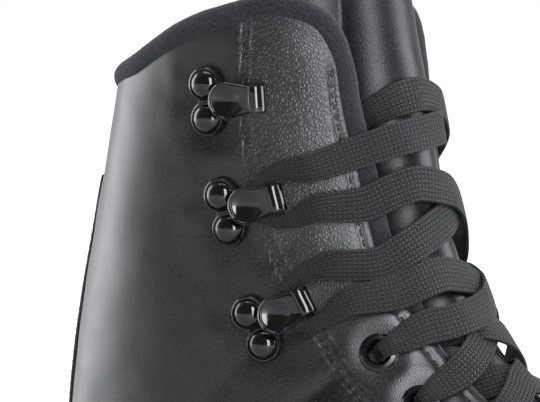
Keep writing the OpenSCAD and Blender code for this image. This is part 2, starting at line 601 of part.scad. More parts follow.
// lacing hook: riveted base, neck folded over into a dished tab with a raised rim
rivet_x = 5.5;
hook_sheet = 1.2;
fold_x = 9.4;
fold_r = (hook_h + hook_sheet - stand) / 2;
tab_x = 2.5;
tab_w = 10;
neck_w = 7;
dish_w = 7.8;
dish_depth = 0.8;
dish_r = (dish_w * dish_w / 4 + dish_depth * dish_depth) / (2 * dish_depth);
rivet_z = -wall_in - 1.7;
module dome(r, h) {
    rr = (r * r + h * h) / (2 * h);
    rotate_extrude($fn = 32) intersection() {
        translate([0, h - rr]) circle(r = rr, $fn = 48);
        square([r, h + 1]);
    }
}
module hook() {
    g = hook_rivet_gap / 2;
    color(c_enamel) union() {
        translate([0, 0, stand]) {
            for (e = [-1, 1])
                translate([-rivet_x, e * g, 0]) cylinder(r = 4.9, h = hook_sheet, $fn = 32);
            linear_extrude(hook_sheet) polygon([[-rivet_x - 2, -g], [-rivet_x + 2, -g - 4.4], [1.5, -g - 0.6],
                [tab_x + 3, -neck_w / 2], [fold_x, -neck_w / 2],
                [fold_x, neck_w / 2], [tab_x + 3, neck_w / 2],
                [1.5, g + 0.6], [-rivet_x + 2, g + 4.4], [-rivet_x - 2, g]]);
        }
        for (e = [-1, 1])
            translate([-rivet_x, e * g, 0]) {
                translate([0, 0, stand + hook_sheet - 0.01]) dome(4, 2.4);
                translate([0, 0, rivet_z - washer_t - 0.4])
                    cylinder(d = rivet_d, h = washer_t - rivet_z + stand + 0.9, $fn = 20);
            }
        translate([fold_x, neck_w / 2, stand + fold_r]) rotate([90, 0, 0])
            linear_extrude(neck_w) difference() {
            circle(r = fold_r, $fn = 40);
            circle(r = fold_r - hook_sheet, $fn = 32);
            translate([-10, -10]) square([10, 20]);
        }
        translate([tab_x, 0, hook_h]) difference() {
            union() {
                cylinder(d = tab_w, h = hook_sheet, $fn = 48);
                linear_extrude(hook_sheet) polygon([[0, -tab_w / 2], [fold_x - tab_x, -neck_w / 2],
                    [fold_x - tab_x, neck_w / 2], [0, tab_w / 2]]);
                translate([0, 0, hook_sheet]) difference() {
                    cylinder(d = tab_w, h = 0.35, $fn = 48);
                    translate([0, 0, -1]) cylinder(d = tab_w - 1.3, h = 2, $fn = 48);
                }
            }
            translate([0, 0, hook_sheet - dish_depth + dish_r]) sphere(r = dish_r, $fn = 64);
        }
    }
}
module rivet_washers() {
    color(c_steel) for (s = [-1, 1], k = [0 : len(HOOKS) - 1], e = [-1, 1])
        at_hook(k, s) translate([-rivet_x, e * hook_rivet_gap / 2, rivet_z - washer_t]) difference() {
            cylinder(d = rivet_d + 4, h = washer_t, $fn = 24);
            translate([0, 0, -1]) cylinder(d = rivet_d, h = washer_t + 2, $fn = 24);
        }
}

module hook_lateral_1() { at_hook(0, -1) hook(); }
module hook_lateral_2() { at_hook(1, -1) hook(); }
module hook_lateral_3() { at_hook(2, -1) hook(); }
module hook_medial_1() { at_hook(0, 1) hook(); }
module hook_medial_2() { at_hook(1, 1) hook(); }
module hook_medial_3() { at_hook(2, 1) hook(); }
module eyelet_lateral_1() { at_eyelet(0, -1) eyelet(); }
module eyelet_lateral_2() { at_eyelet(1, -1) eyelet(); }
module eyelet_lateral_3() { at_eyelet(2, -1) eyelet(); }
module eyelet_lateral_4() { at_eyelet(3, -1) eyelet(); }
module eyelet_lateral_5() { at_eyelet(4, -1) eyelet(); }
module eyelet_medial_1() { at_eyelet(0, 1) eyelet(); }
module eyelet_medial_2() { at_eyelet(1, 1) eyelet(); }
module eyelet_medial_3() { at_eyelet(2, 1) eyelet(); }
module eyelet_medial_4() { at_eyelet(3, 1) eyelet(); }
module eyelet_medial_5() { at_eyelet(4, 1) eyelet(); }

// lace: a waypoint is [point, flat normal, width, thickness]
function in_f(f, x, y, z) = f[0] + f[1] * x + f[2] * y + f[3] * z;
function wp(f, x, y, z, w, th) = [in_f(f, x, y, z), f[3], w, th];
// a pass across the throat: t and a on the boot, height above the leather surface
function cross_wp(t, a, o, w) = [surf(t, a, 0) + normal(t, a) * o, normal(t, a), w, lace_t];
// a pass lying on the tongue, raised by lift
function tongue_p(t, a) = surf(t, a, tongue_o(t, a));
function tongue_wp(t, a, lift, w) = let (p = tongue_p(t, a),
    n = unit(cross(tongue_p(t, a + 1) - tongue_p(t, a - 1), tongue_p(t + 0.05, a) - tongue_p(t - 0.05, a))))
    [p + n * (rest + lift), n, w, lace_t];
rest = gap + 0.65 + lace_t / 2;
over_edge = 2.6;
under_z = washer_z - washer_t - 0.55 - lace_t / 2;
pass_w = 4.4;
pass_t = 1.8;
// through an eyelet from outside to inside, facing the throat
function eyelet_in(k, s) = let (f = eyelet_frame(k, s)) [
    wp(f, 6.5, 0, 2.3, 7, lace_t),
    wp(f, 3, 0, 2.6, 5, 1.4),
    [in_f(f, 0.6, 0, 1.4), unit(f[3] + f[1]), pass_w, pass_t],
    [in_f(f, 0, 0, -2.5), f[1], pass_w, pass_t],
    [in_f(f, 0.6, 0, under_z + 0.6), unit(f[1] - f[3]), pass_w, pass_t],
    wp(f, 3.4, 0, under_z, 5, lace_t)];
function rev(l) = [for (k = [len(l) - 1 : -1 : 0]) [l[k][0], l[k][1], l[k][2], l[k][3]]];
// round a hook: in along its upper side (dir 1) or lower side (dir -1)
function hook_pass(k, s, dir) = let (f = hook_frame(k, s), z = stand + hook_sheet + 0.9) [
    wp(f, 19, 5.4 * dir, 2.4, 7, lace_t),
    wp(f, 13.5, 6.4 * dir, 2.5, 4.6, lace_t),
    wp(f, 8.5, 5.9 * dir, z, 3.4, lace_t),
    wp(f, 5.1, 4 * dir, z, 3, lace_t),
    wp(f, 3.9, 0, z, 3, lace_t),
    wp(f, 5.1, -4 * dir, z, 3, lace_t),
    wp(f, 8.5, -5.9 * dir, z, 3.4, lace_t),
    wp(f, 13.5, -6.4 * dir, 2.5, 4.6, lace_t),
    wp(f, 19, -5.4 * dir, 2.4, 7, lace_t)];
// level at share q of a pass that leaves at t0, crosses the front line at tm and arrives at t1
function level(t0, tm, t1, q) = t0 * (1 - q) * (1 - 2 * q) + 4 * tm * q * (1 - q) + t1 * q * (2 * q - 1);
// from under the facing on side s at t0 up over the tongue to the other side's edge at t1
function dive(s, t0, tm, t1, lift) = let (e0 = tongue_edge(t0), e1 = throat(t1)) [
    tongue_wp(level(t0, tm, t1, 0.07), s * e0 * 1.03, 0, lace_w * 0.5),
    tongue_wp(level(t0, tm, t1, 0.17), s * e0 * 0.75, 0.1, lace_w * 0.8),
    tongue_wp(level(t0, tm, t1, 0.3), s * e0 * 0.45, 0, lace_w),
    tongue_wp(level(t0, tm, t1, 0.43), s * e0 * 0.15, lift, lace_w),
    tongue_wp(level(t0, tm, t1, 0.57), -s * e1 * 0.15, lift, lace_w),
    cross_wp(level(t0, tm, t1, 0.73), -s * e1 * 0.5, 1.5 + lift * 0.6, lace_w),
    cross_wp(level(t0, tm, t1, 0.86), -s * e1 * 0.78, over_edge, lace_w),
    cross_wp(level(t0, tm, t1, 0.95), -s * e1 * 1.04, over_edge, lace_w)];
// across the throat on the outside all the way, from side s at t0 to the other side at t1
function over(s, t0, tm, t1, lift) = let (e0 = throat(t0), e1 = throat(t1)) [
    cross_wp(t0, s * e0 * 1.05, over_edge + 0.2, lace_w),
    cross_wp(level(t0, tm, t1, 0.13), s * e0 * 0.78, over_edge + 0.2, lace_w),
    cross_wp(level(t0, tm, t1, 0.25), s * e0 * 0.5, 1.8 + lift * 0.6, lace_w),
    tongue_wp(level(t0, tm, t1, 0.43), s * e0 * 0.15, 0.3 + lift, lace_w),
    tongue_wp(level(t0, tm, t1, 0.57), -s * e1 * 0.15, 0.3 + lift, lace_w),
    cross_wp(level(t0, tm, t1, 0.75), -s * e1 * 0.5, 1.8 + lift * 0.6, lace_w),
    cross_wp(level(t0, tm, t1, 0.87), -s * e1 * 0.78, over_edge + 0.2, lace_w),
    cross_wp(t1, -s * e1 * 1.05, over_edge + 0.2, lace_w)];
function et(k) = EYELETS[k][0];
lace_over = 1.7;
// tucked end behind a facing at the level of the top hook, finished by an aglet
tuck_t = 12.5;
tuck_o = -tongue_drop + 1.85;
function tuck(s) = [
    cross_wp(tuck_t, s * 57, tuck_o - 0.3, 3),
    cross_wp(tuck_t, s * 54, tuck_o, 6),
    cross_wp(tuck_t + 0.02, s * 47, tuck_o, 8)];
// one half of the lacing, from its tucked end down to the lowest eyelet; s is the side
// of the tucked end, and the passes cross a little to the medial side of the front line
function half_lace(s, lift) = let (h = -s) concat(
    tuck(s),
    dive(s, 12.45, 12.25 + 0.25 * h, 12.1, lift),
    hook_pass(1, -s, 1),
    over(-s, 11.4, 10.98 - 0.2 * h, 10.6, lift),
    hook_pass(2, s, 1),
    over(s, 10.15, 9.75 + 0.22 * h, 9.6, lift),
    eyelet_in(0, -s),
    dive(-s, et(0), (et(0) + et(1)) / 2, et(1), lift),
    eyelet_in(1, s),
    dive(s, et(1), (et(1) + et(2)) / 2, et(2), lift),
    eyelet_in(2, -s),
    dive(-s, et(2), (et(2) + et(3)) / 2, et(3), lift),
    eyelet_in(3, s),
    dive(s, et(3), (et(3) + et(4)) / 2, et(4), lift),
    eyelet_in(4, -s));
function bar() = [for (a = [24, 16, 8, 0, -8, -16, -24]) tongue_wp(et(4) - 0.1, a, 0, lace_w * 0.8)];
ROUTE = concat(half_lace(-1, 0), bar(), rev(half_lace(1, lace_over)));
function lace_sec(k) = let (n = len(ROUTE), r = ROUTE[k],
    d = unit(ROUTE[min(k + 1, n - 1)][0] - ROUTE[max(k - 1, 0)][0]),
    b = unit(cross(d, r[1])), u = cross(b, d), w = r[2] / 2, h = r[3] / 2)
    [for (q = [[1, 0.45], [0.82, 1], [-0.82, 1], [-1, 0.45],
        [-1, -0.45], [-0.82, -1], [0.82, -1], [1, -0.45]])
        r[0] + b * w * q[0] + u * h * q[1]];
module lace() {
    color(c_lace) sweep([for (k = [0 : len(ROUTE) - 1]) lace_sec(k)]);
}
aglet_l = 12;
module aglets() {
    color(c_enamel) for (s = [-1, 1]) {
        p = cross_wp(tuck_t, s * 57, tuck_o - 0.3, 3)[0];
        z = unit(surf(tuck_t, s * 76, tuck_o + 0.5) - p);
        x = unit(cross([0, 0, 1], z));
        y = cross(z, x);
        multmatrix([[x[0], y[0], z[0], p[0]],
            [x[1], y[1], z[1], p[1]], [x[2], y[2], z[2], p[2]], [0, 0, 0, 1]])
            translate([0, 0, gap]) cylinder(d = 2, h = aglet_l, $fn = 16);
    }
}

vamp();
toe_puff();
vamp_padding();
vamp_lining();
quarter_lateral();
quarter_medial();
facing_lateral();
facing_medial();
ankle_padding_lateral();
ankle_padding_medial();
collar_padding();
heel_counter();
quarter_lining();
collar_binding();
backstay();
insole_board();
footbed();
tongue_outer();
tongue_foam();
tongue_lining();
outsole();
heel_block();
heel_lift();
sole_plate();
heel_plate();
blade();
sole_screws();
heel_screws();
hook_lateral_1();
hook_lateral_2();
hook_lateral_3();
hook_medial_1();
hook_medial_2();
hook_medial_3();
rivet_washers();
eyelet_lateral_1();
eyelet_lateral_2();
eyelet_lateral_3();
eyelet_lateral_4();
eyelet_lateral_5();
eyelet_medial_1();
eyelet_medial_2();
eyelet_medial_3();
eyelet_medial_4();
eyelet_medial_5();
eyelet_washers();
lace();
aglets();
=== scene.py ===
import math

import bmesh
import bpy
import numpy as np
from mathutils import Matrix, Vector, noise
from mathutils.kdtree import KDTree


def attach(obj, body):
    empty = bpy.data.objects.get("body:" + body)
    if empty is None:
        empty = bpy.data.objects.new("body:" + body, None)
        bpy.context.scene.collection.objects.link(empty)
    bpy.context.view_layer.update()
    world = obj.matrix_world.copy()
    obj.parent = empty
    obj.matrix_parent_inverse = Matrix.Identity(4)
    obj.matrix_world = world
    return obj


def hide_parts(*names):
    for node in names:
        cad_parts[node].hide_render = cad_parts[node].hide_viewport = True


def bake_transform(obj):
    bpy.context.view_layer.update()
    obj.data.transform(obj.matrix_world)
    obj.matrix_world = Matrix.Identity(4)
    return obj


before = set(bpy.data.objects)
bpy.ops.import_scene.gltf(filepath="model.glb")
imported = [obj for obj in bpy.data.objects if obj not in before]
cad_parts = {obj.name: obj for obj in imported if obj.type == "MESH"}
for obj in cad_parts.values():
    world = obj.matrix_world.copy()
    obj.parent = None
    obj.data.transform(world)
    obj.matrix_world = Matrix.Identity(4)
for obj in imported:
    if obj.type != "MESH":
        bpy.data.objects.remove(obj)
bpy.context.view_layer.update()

MM = 0.001
bpy.ops.object.select_all(action="DESELECT")


# ---------------------------------------------------------------- camera, light and floor
AZIMUTH, ELEVATION, DISTANCE = math.radians(30), math.radians(4), 0.9
SENSOR_MM, SEEN_WIDTH = 36, 0.1458
ANKLE, AIM_LEFT, AIM_DOWN = Vector((-0.080, 0, 0.208)), 0.00135, 0.00297
FLOOR_RADIUS, FLOOR_DROP = 14, 0.0006
COOL_WHITE = (0.94, 0.94, 1.0)
BEHIND_BOOT = (-0.5, 0.866, 0.0)

toward = Vector((math.sin(AZIMUTH) * math.cos(ELEVATION), -math.cos(AZIMUTH) * math.cos(ELEVATION),
                 math.sin(ELEVATION)))
right = Vector((math.cos(AZIMUTH), math.sin(AZIMUTH), 0))
up = toward.cross(right)
aimed_at = ANKLE - right * AIM_LEFT - up * AIM_DOWN
bpy.ops.object.camera_add(location=aimed_at + toward * DISTANCE)
camera = bpy.context.object
camera.name = "studio_camera"
camera.rotation_euler = toward.to_track_quat("Z", "Y").to_euler()
camera.data.sensor_width = SENSOR_MM
camera.data.lens = SENSOR_MM * DISTANCE / SEEN_WIDTH
camera.data.clip_end = 50
bpy.context.scene.camera = camera
bpy.context.scene.view_settings.view_transform = "Standard"


def linear(code):
    """sRGB hex to linear RGBA"""
    out = []
    for k in (1, 3, 5):
        c = int(code[k:k + 2], 16) / 255
        out.append(c / 12.92 if c <= 0.04045 else ((c + 0.055) / 1.055) ** 2.4)
    return (*out, 1.0)


def add(tree, kind, inputs=None, **settings):
    """a node with its settings; an input given as a socket is linked, anything else is set"""
    made = tree.nodes.new("ShaderNode" + kind)
    for key, value in settings.items():
        setattr(made, key, value)
    for key, value in (inputs or {}).items():
        if isinstance(value, bpy.types.NodeSocket):
            tree.links.new(value, made.inputs[key])
        else:
            made.inputs[key].default_value = value
    return made


def softbox(name, spot, aim, width, height, power):
    """rectangular studio lamp that faces its aim"""
    bpy.ops.object.light_add(type="AREA", location=spot)
    lamp = bpy.context.object
    lamp.name = name
    lamp.data.shape = "RECTANGLE"
    lamp.data.size, lamp.data.size_y = width, height
    lamp.data.energy = power
    lamp.data.color = COOL_WHITE
    lamp.rotation_euler = (Vector(spot) - Vector(aim)).to_track_quat("Z", "Y").to_euler()


def white_tent():
    """white where the camera sees it, but a dim light: brightest behind the boot, dimmest before it"""
    world = bpy.data.worlds.new("white_studio")
    bpy.context.scene.world = world
    world.use_nodes = True
    tree = world.node_tree
    cloth = tree.nodes["Background"]
    cloth.inputs["Color"].default_value = linear("#ffffff")
    seen = add(tree, "LightPath").outputs["Is Camera Ray"]
    around = add(tree, "TexCoord").outputs["Generated"]
    behind = add(tree, "VectorMath", {0: around, 1: BEHIND_BOOT}, operation="DOT_PRODUCT")
    light = add(tree, "MapRange", {0: behind.outputs["Value"], 1: -0.5, 2: 0.95, 3: 0.13, 4: 0.75})
    brighter = add(tree, "Math", {0: seen, 1: light.outputs[0]}, operation="MAXIMUM")
    tree.links.new(brighter.outputs[0], cloth.inputs["Strength"])


softbox("key_softbox", (0.78, -0.92, 0.6), (-0.05, 0, 0.2), 0.42, 1.1, 23)
softbox("top_softbox", (-0.1, 0.1, 1.7), (-0.05, 0, 0.15), 1.2, 1.0, 12)
softbox("left_rim_softbox", (-1.25, 0.0, 0.4), (-0.06, 0, 0.18), 0.9, 1.2, 14)
softbox("right_rim_softbox", (1.0, 0.62, 0.5), (-0.02, 0, 0.2), 0.8, 1.2, 24)
white_tent()

bpy.ops.mesh.primitive_circle_add(vertices=96, radius=FLOOR_RADIUS, fill_type="NGON",
                                  location=(0, 0, -FLOOR_DROP))
floor = bpy.context.object
floor.name = "studio_floor"


# ---------------------------------------------------------------- materials
def material(name, colour, roughness, **sockets):
    made = bpy.data.materials.new(name)
    made.use_nodes = True
    shader = made.node_tree.nodes["Principled BSDF"]
    shader.inputs["Base Color"].default_value = linear(colour)
    shader.inputs["Roughness"].default_value = roughness
    for key, value in sockets.items():
        shader.inputs[key.replace("_", " ")].default_value = value
    return made, made.node_tree, shader


def blend_colour(tree, factor, low, high):
    mix = add(tree, "Mix", data_type="RGBA")
    tree.links.new(factor, mix.inputs[0])
    for k, value in ((6, low), (7, high)):
        if isinstance(value, str):
            mix.inputs[k].default_value = linear(value)
        else:
            tree.links.new(value, mix.inputs[k])
    return mix.outputs[2]


def span(tree, value, low, high, out_low=0.0, out_high=1.0):
    """value taken from low..high to out_low..out_high, and held at the ends"""
    return add(tree, "MapRange", {0: value, 1: low, 2: high, 3: out_low, 4: out_high}).outputs[0]


def maths(tree, kind, *values):
    return add(tree, "Math", dict(enumerate(values)), operation=kind).outputs[0]


def times(tree, a, b):
    return maths(tree, "MULTIPLY", a, b)


def plus(tree, a, b):
    return maths(tree, "ADD", a, b)


def paint(tree, shader, factor, low, high):
    tree.links.new(blend_colour(tree, factor, low, high), shader.inputs["Base Color"])


def polish(tree, shader, roughness):
    tree.links.new(roughness, shader.inputs["Roughness"])


def place(tree):
    return add(tree, "TexCoord").outputs["Object"]


def height_of(tree, where):
    return add(tree, "SeparateXYZ", {0: where}).outputs[2]


def drawn_out(tree, where, share):
    """places squeezed along the boot, so that a grain laid on them is drawn out that way"""
    return add(tree, "Mapping", {"Vector": where, "Scale": (share, 1.0, 1.0)}).outputs[0]


def pebbles(tree, where, size_mm):
    """rounded leather pebbles, 1 on their tops and 0 in the creases between them"""
    cell = add(tree, "TexVoronoi", {"Vector": where, "Scale": 1000 / size_mm, "Randomness": 1.0},
               feature="DISTANCE_TO_EDGE").outputs["Distance"]
    return add(tree, "MapRange", {0: cell, 1: 0.0, 2: 0.42}, interpolation_type="SMOOTHSTEP").outputs[0]


def mottle(tree, where, size_mm, detail=2.0, roughness=0.5):
    return add(tree, "TexNoise", {"Vector": where, "Scale": 1000 / size_mm, "Detail": detail,
                                  "Roughness": roughness}).outputs["Fac"]


def relief(tree, shader, height, depth_mm, strength=1.0):
    bump = add(tree, "Bump", {"Strength": strength, "Distance": depth_mm * MM, "Height": height})
    tree.links.new(bump.outputs[0], shader.inputs["Normal"])


def chrome_tanned_leather(name, pebble_mm, fine_mm, colour, crease_shade, shine=0.5):
    """coated black cow leather: a satin skin whose grain is pebbles parted by creases darkened with painted
    shade, full where flap_grain is 1, as high on the lacing flaps, where the pebble tops get a painted
    highlight, and fine and flat where it is 0"""
    made, tree, shader = material(name, colour, 0.4, Specular_IOR_Level=shine)
    where = place(tree)
    drift = mottle(tree, where, 3.0, 1)
    sway = [times(tree, drift, share) for share in (0.0012, -0.0010, 0.0008)]
    shift = add(tree, "CombineXYZ", dict(enumerate(sway))).outputs[0]
    warped = add(tree, "VectorMath", {0: where, 1: shift}, operation="ADD").outputs[0]
    coarse, fine = pebbles(tree, warped, pebble_mm), pebbles(tree, warped, fine_mm)
    flap = add(tree, "Attribute", attribute_name="flap_grain").outputs["Fac"]
    flat = times(tree, times(tree, fine, 0.36), maths(tree, "SUBTRACT", 1.0, flap))
    relief(tree, shader, plus(tree, times(tree, coarse, flap), flat), 0.055)
    # painted highlight: on the lacing flaps the pebble tops take a lighter colour
    top = blend_colour(tree, flap, colour, "#26262b")
    # painted shade: the creases between the pebbles take the darker crease colour
    shade_and_highlight = blend_colour(tree, span(tree, coarse, 0.1, 0.8), crease_shade, top)
    cloudy = mottle(tree, where, 22, 3)
    paint(tree, shader, span(tree, cloudy, 0.35, 0.75, 0.0, 0.35), shade_and_highlight, "#1c1c21")
    polish(tree, shader, span(tree, cloudy, 0.3, 0.7, 0.3, 0.42))
    return made


def wool_felt(name, colour, lighter):
    """pressed wool felt: matte, with short matted fibres drawn coarser than real ones so that they show"""
    made, tree, shader = material(name, colour, 0.92, Sheen_Weight=0.08, Sheen_Roughness=0.5,
                                  Specular_IOR_Level=0.2)
    where = place(tree)
    fibres = mottle(tree, where, 0.45, 4, 0.7)
    clump = mottle(tree, where, 2.2, 3, 0.6)
    relief(tree, shader, plus(tree, fibres, times(tree, clump, 0.6)), 0.28, 0.8)
    paint(tree, shader, span(tree, fibres, 0.35, 0.7), colour, lighter)
    return made


def brushed_knit(name, colour, lighter):
    """brushed polyester knit lining: rows of small loops under a soft nap"""
    loop_mm = 0.9
    made, tree, shader = material(name, colour, 0.85, Sheen_Weight=0.3, Sheen_Roughness=0.45)
    where = place(tree)
    rows = add(tree, "TexWave", {"Vector": where, "Scale": 1000 / loop_mm / 6.28, "Distortion": 1.5,
                                 "Detail": 1.0}, bands_direction="Z").outputs["Fac"]
    nap = mottle(tree, where, 0.5, 3, 0.65)
    relief(tree, shader, plus(tree, rows, nap), 0.2, 0.6)
    paint(tree, shader, nap, colour, lighter)
    return made


def stove_enamel(name, colour, dull):
    """baked gloss enamel on pressed steel: deep black, a faint orange peel, duller where laces rub"""
    made, tree, shader = material(name, colour, dull)
    where = place(tree)
    relief(tree, shader, mottle(tree, where, 1.6, 1), 0.02, 0.25)
    polish(tree, shader, span(tree, mottle(tree, where, 3.5, 3), 0.5, 0.75, dull, dull + 0.12))
    return made


def nickel_plate(name, colour, roughness, scratch_mm):
    """nickel plated steel: bright and a little warm, with fine polishing lines"""
    made, tree, shader = material(name, colour, roughness, Metallic=1.0)
    where = place(tree)
    grain = mottle(tree, drawn_out(tree, where, 0.04), scratch_mm, 3)
    relief(tree, shader, grain, 0.015, 0.5)
    polish(tree, shader, span(tree, grain, 0.3, 0.7, roughness * 0.7, roughness * 1.5))
    paint(tree, shader, mottle(tree, where, 30, 2), colour, "#b9bcc2")
    return made


def skate_blade_steel(name):
    """mirror nickel on the blade, with the ground band along the running edge left satin and grey"""
    made, tree, shader = material(name, "#c9cbd0", 0.1, Metallic=1.0)
    where = place(tree)
    waver = times(tree, mottle(tree, where, 12, 2), 0.0012)
    edge = plus(tree, height_of(tree, where), waver)
    ground = span(tree, edge, 0.0085, 0.0098, 1.0, 0.0)
    lines = mottle(tree, drawn_out(tree, where, 0.03), 0.35, 3)
    relief(tree, shader, times(tree, lines, plus(tree, ground, 0.15)), 0.02, 0.6)
    mirror = span(tree, mottle(tree, where, 18, 3), 0.3, 0.7, 0.07, 0.14)
    polish(tree, shader, plus(tree, times(tree, ground, 0.26), mirror))
    paint(tree, shader, ground, "#cfd1d6", "#a3a5a9")
    return made


def dressed_sole_edge(name, colour, lighter, layer_mm):
    """stacked and edge dressed sole: black dressing over thin pressed layers, scuffed a little lighter"""
    made, tree, shader = material(name, colour, 0.42, Coat_Weight=0.15, Coat_Roughness=0.3)
    where = place(tree)
    waver = plus(tree, times(tree, height_of(tree, where), 1000 / layer_mm),
                 times(tree, mottle(tree, where, 30, 2), 0.25))
    layer = span(tree, maths(tree, "PINGPONG", waver, 0.5), 0.0, 0.06)
    grit = mottle(tree, where, 0.7, 3)
    relief(tree, shader, plus(tree, layer, times(tree, grit, 0.4)), 0.1, 0.5)
    scuff = span(tree, mottle(tree, where, 9, 4, 0.65), 0.52, 0.72, 0.0, 0.5)
    paint(tree, shader, scuff, colour, lighter)
    polish(tree, shader, span(tree, scuff, 0.0, 0.5, 0.38, 0.6))
    return made


def flat_braid(name, colour, lighter):
    """flat braided cotton lace: plaited rows of slanting yarns, slightly waxed; painted shade darkens the
    lines between the yarns and a painted highlight lightens their tops
    """
    rows, slant_mm = 8.0, 1.2
    made, tree, shader = material(name, colour, 0.55, Sheen_Weight=0.05, Sheen_Roughness=0.4,
                                  Specular_IOR_Level=0.3)
    uv = add(tree, "SeparateXYZ", {0: add(tree, "TexCoord").outputs["UV"]})
    across, run = uv.outputs[0], uv.outputs[1]
    rib = maths(tree, "PINGPONG", times(tree, across, rows), 0.5)
    slant = plus(tree, maths(tree, "DIVIDE", run, slant_mm), times(tree, rib, 1.5))
    yarn = span(tree, maths(tree, "SINE", times(tree, slant, 6.2832)), -0.8, 0.8, 0.25, 1.0)
    weave = times(tree, yarn, span(tree, rib, 0.04, 0.26))
    fuzz = mottle(tree, place(tree), 0.4, 3, 0.7)
    relief(tree, shader, plus(tree, weave, times(tree, fuzz, 0.12)), 0.7)
    # painted shade and painted highlight: dark between the yarns, lighter on their tops
    paint(tree, shader, span(tree, weave, 0.15, 0.85), colour, lighter)
    return made


def plain(name, colour, lighter, roughness, grain_mm, depth_mm):
    """hidden stiffeners, foam and small trim: one colour broken by its own grain"""
    made, tree, shader = material(name, colour, roughness)
    grain = mottle(tree, place(tree), grain_mm, 3, 0.6)
    relief(tree, shader, grain, depth_mm, 0.6)
    paint(tree, shader, span(tree, grain, 0.35, 0.65), colour, lighter)
    return made


def floor_with_painted_shade(name):
    """pale floor with painted shade: grey under the skate so that it stays dark below, and a painted glow
    that makes it white and shining far out
    """
    made, tree, shader = material(name, "#f4f4f4", 0.6)
    reach = add(tree, "VectorMath", {0: place(tree)}, operation="LENGTH").outputs["Value"]
    # painted shade: grey near the skate, white far out
    paint(tree, shader, span(tree, reach, 0.25, 1.3), "#c4c5c8", "#fafafa")
    # painted glow: the floor gives off light far out and none near the skate
    shader.inputs["Emission Color"].default_value = linear("#ffffff")
    tree.links.new(span(tree, reach, 0.6, 1.6, 0.0, 0.7), shader.inputs["Emission Strength"])
    return made


# each leather's second colour is the painted shade in its creases
leather = chrome_tanned_leather("black_boot_leather", 0.95, 0.75, "#17171b", "#060607")
tongue_leather = chrome_tanned_leather("black_tongue_leather", 0.95, 0.75, "#15151a", "#0a0a0c", 0.28)
felt = wool_felt("black_wool_felt", "#0e0e10", "#303034")
knit = brushed_knit("charcoal_brushed_lining", "#1d1d20", "#37373b")
enamel = stove_enamel("black_stove_enamel", "#09090a", 0.05)
eyelet_enamel = stove_enamel("black_eyelet_enamel", "#0b0b0c", 0.15)
nickel = nickel_plate("nickel_plated_steel", "#d2d3d6", 0.22, 0.4)
blade_steel = skate_blade_steel("skate_blade_steel")
sole_edge = dressed_sole_edge("black_dressed_sole", "#131313", "#3a3936", 2.4)
heel_rubber = plain("black_rubber_heel_lift", "#0f0f10", "#242426", 0.7, 1.2, 0.1)
# the braid's darker colour is painted shade between its yarns, the lighter one a painted highlight on their
# tops
braid = flat_braid("black_braided_cotton", "#010101", "#202025")
thread = plain("waxed_black_thread", "#121213", "#2c2c2f", 0.5, 0.3, 0.05)
foam = plain("grey_padding_foam", "#6a6a6c", "#88888a", 0.95, 0.9, 0.25)
stiffener = plain("thermoplastic_stiffener", "#a59a84", "#b8ad97", 0.6, 3.0, 0.05)
fibre = plain("pressed_fibre_board", "#8a7252", "#a18a68", 0.8, 0.8, 0.1)
cut_edge = plain("black_cut_leather_edge", "#141415", "#242427", 0.6, 0.5, 0.12)
# the edge bead's lighter colour is partly a painted highlight for the glint along the throat edge; its gloss
# catches real light
burnished = plain("burnished_leather_edge", "#26262a", "#3a3a40", 0.24, 0.8, 0.03)
aglet_film = plain("black_acetate_aglet", "#0b0b0c", "#1a1a1b", 0.2, 2.0, 0.02)
floor.data.materials.append(floor_with_painted_shade("pale_painted_floor"))


# ---------------------------------------------------------------- the last: the boot's own surface
LEATHER, PADDING, LINING = 1.8, 2.4, 1.2
WALL = LEATHER + PADDING + LINING
BALL_Z = 62.0
# stations toe to collar: front x, front z, rear x, rear z, half width, side shift, skew,
# front and rear roundness
STATIONS = np.array([
    (142, 14, 142, 5, 3, 7, 0, 2, 2.2), (140, 25, 140, 0.6, 17, 6.5, -0.05, 2.1, 2.6),
    (133, 35, 133, 0, 28.5, 5.5, -0.1, 2.2, 3.2), (119, 42, 119, 0, 37, 3.5, -0.2, 2.2, 4),
    (96, 48, 96, 0, 43, 1, -0.25, 2.1, 4.5), (68, 55, 62, 0, 45, -0.4, -0.25, 2, 4.5),
    (42, 65, 26, 1, 41, -1, -0.2, 2, 4.5), (19, 78, -14, 12, 36.5, -0.8, -0.15, 2, 4),
    (1, 92, -56, 26, 33.8, -0.6, -0.1, 2, 3.6), (-13, 107, -98, 32.5, 33.6, -0.6, -0.05, 2, 3),
    (-23, 126, -130, 34.5, 34.4, -0.5, 0, 2, 2.2), (-29.5, 145, -141, 56, 34.6, -0.3, 0, 2, 2.05),
    (-33, 164, -140, 93, 34.2, 0, 0, 2.05, 2), (-36, 182, -132.5, 136, 34.2, 0, 0, 2.1, 2),
    (-37, 200, -123, 179, 34.4, 0, 0, 2.1, 2.05), (-37.5, 218, -114, 222, 35, 0, 0, 2.1, 2.1)], float)
STATIONS[:, 1] += BALL_Z
STATIONS[:, 3] += BALL_Z
LAST = len(STATIONS) - 1
BALL = 4
TOE_C = np.array([STATIONS[BALL, 0], STATIONS[BALL, 5], (STATIONS[BALL, 1] + STATIONS[BALL, 3]) / 2])


def station(t):
    t = np.asarray(t, float)
    i = np.clip(np.floor(t).astype(int), 0, LAST - 1)
    f = (t - i)[..., None]
    p1, p2 = STATIONS[i], STATIONS[i + 1]
    p0 = np.where((i == 0)[..., None], 2 * p1 - p2, STATIONS[np.maximum(i - 1, 0)])
    p3 = np.where((i == LAST - 1)[..., None], 2 * p2 - p1, STATIONS[np.minimum(i + 2, LAST)])
    return 0.5 * (2 * p1 + (p2 - p0) * f + (2 * p0 - 5 * p1 + 4 * p2 - p3) * f ** 2
                  + (3 * p1 - p0 - 3 * p2 + p3) * f ** 3)


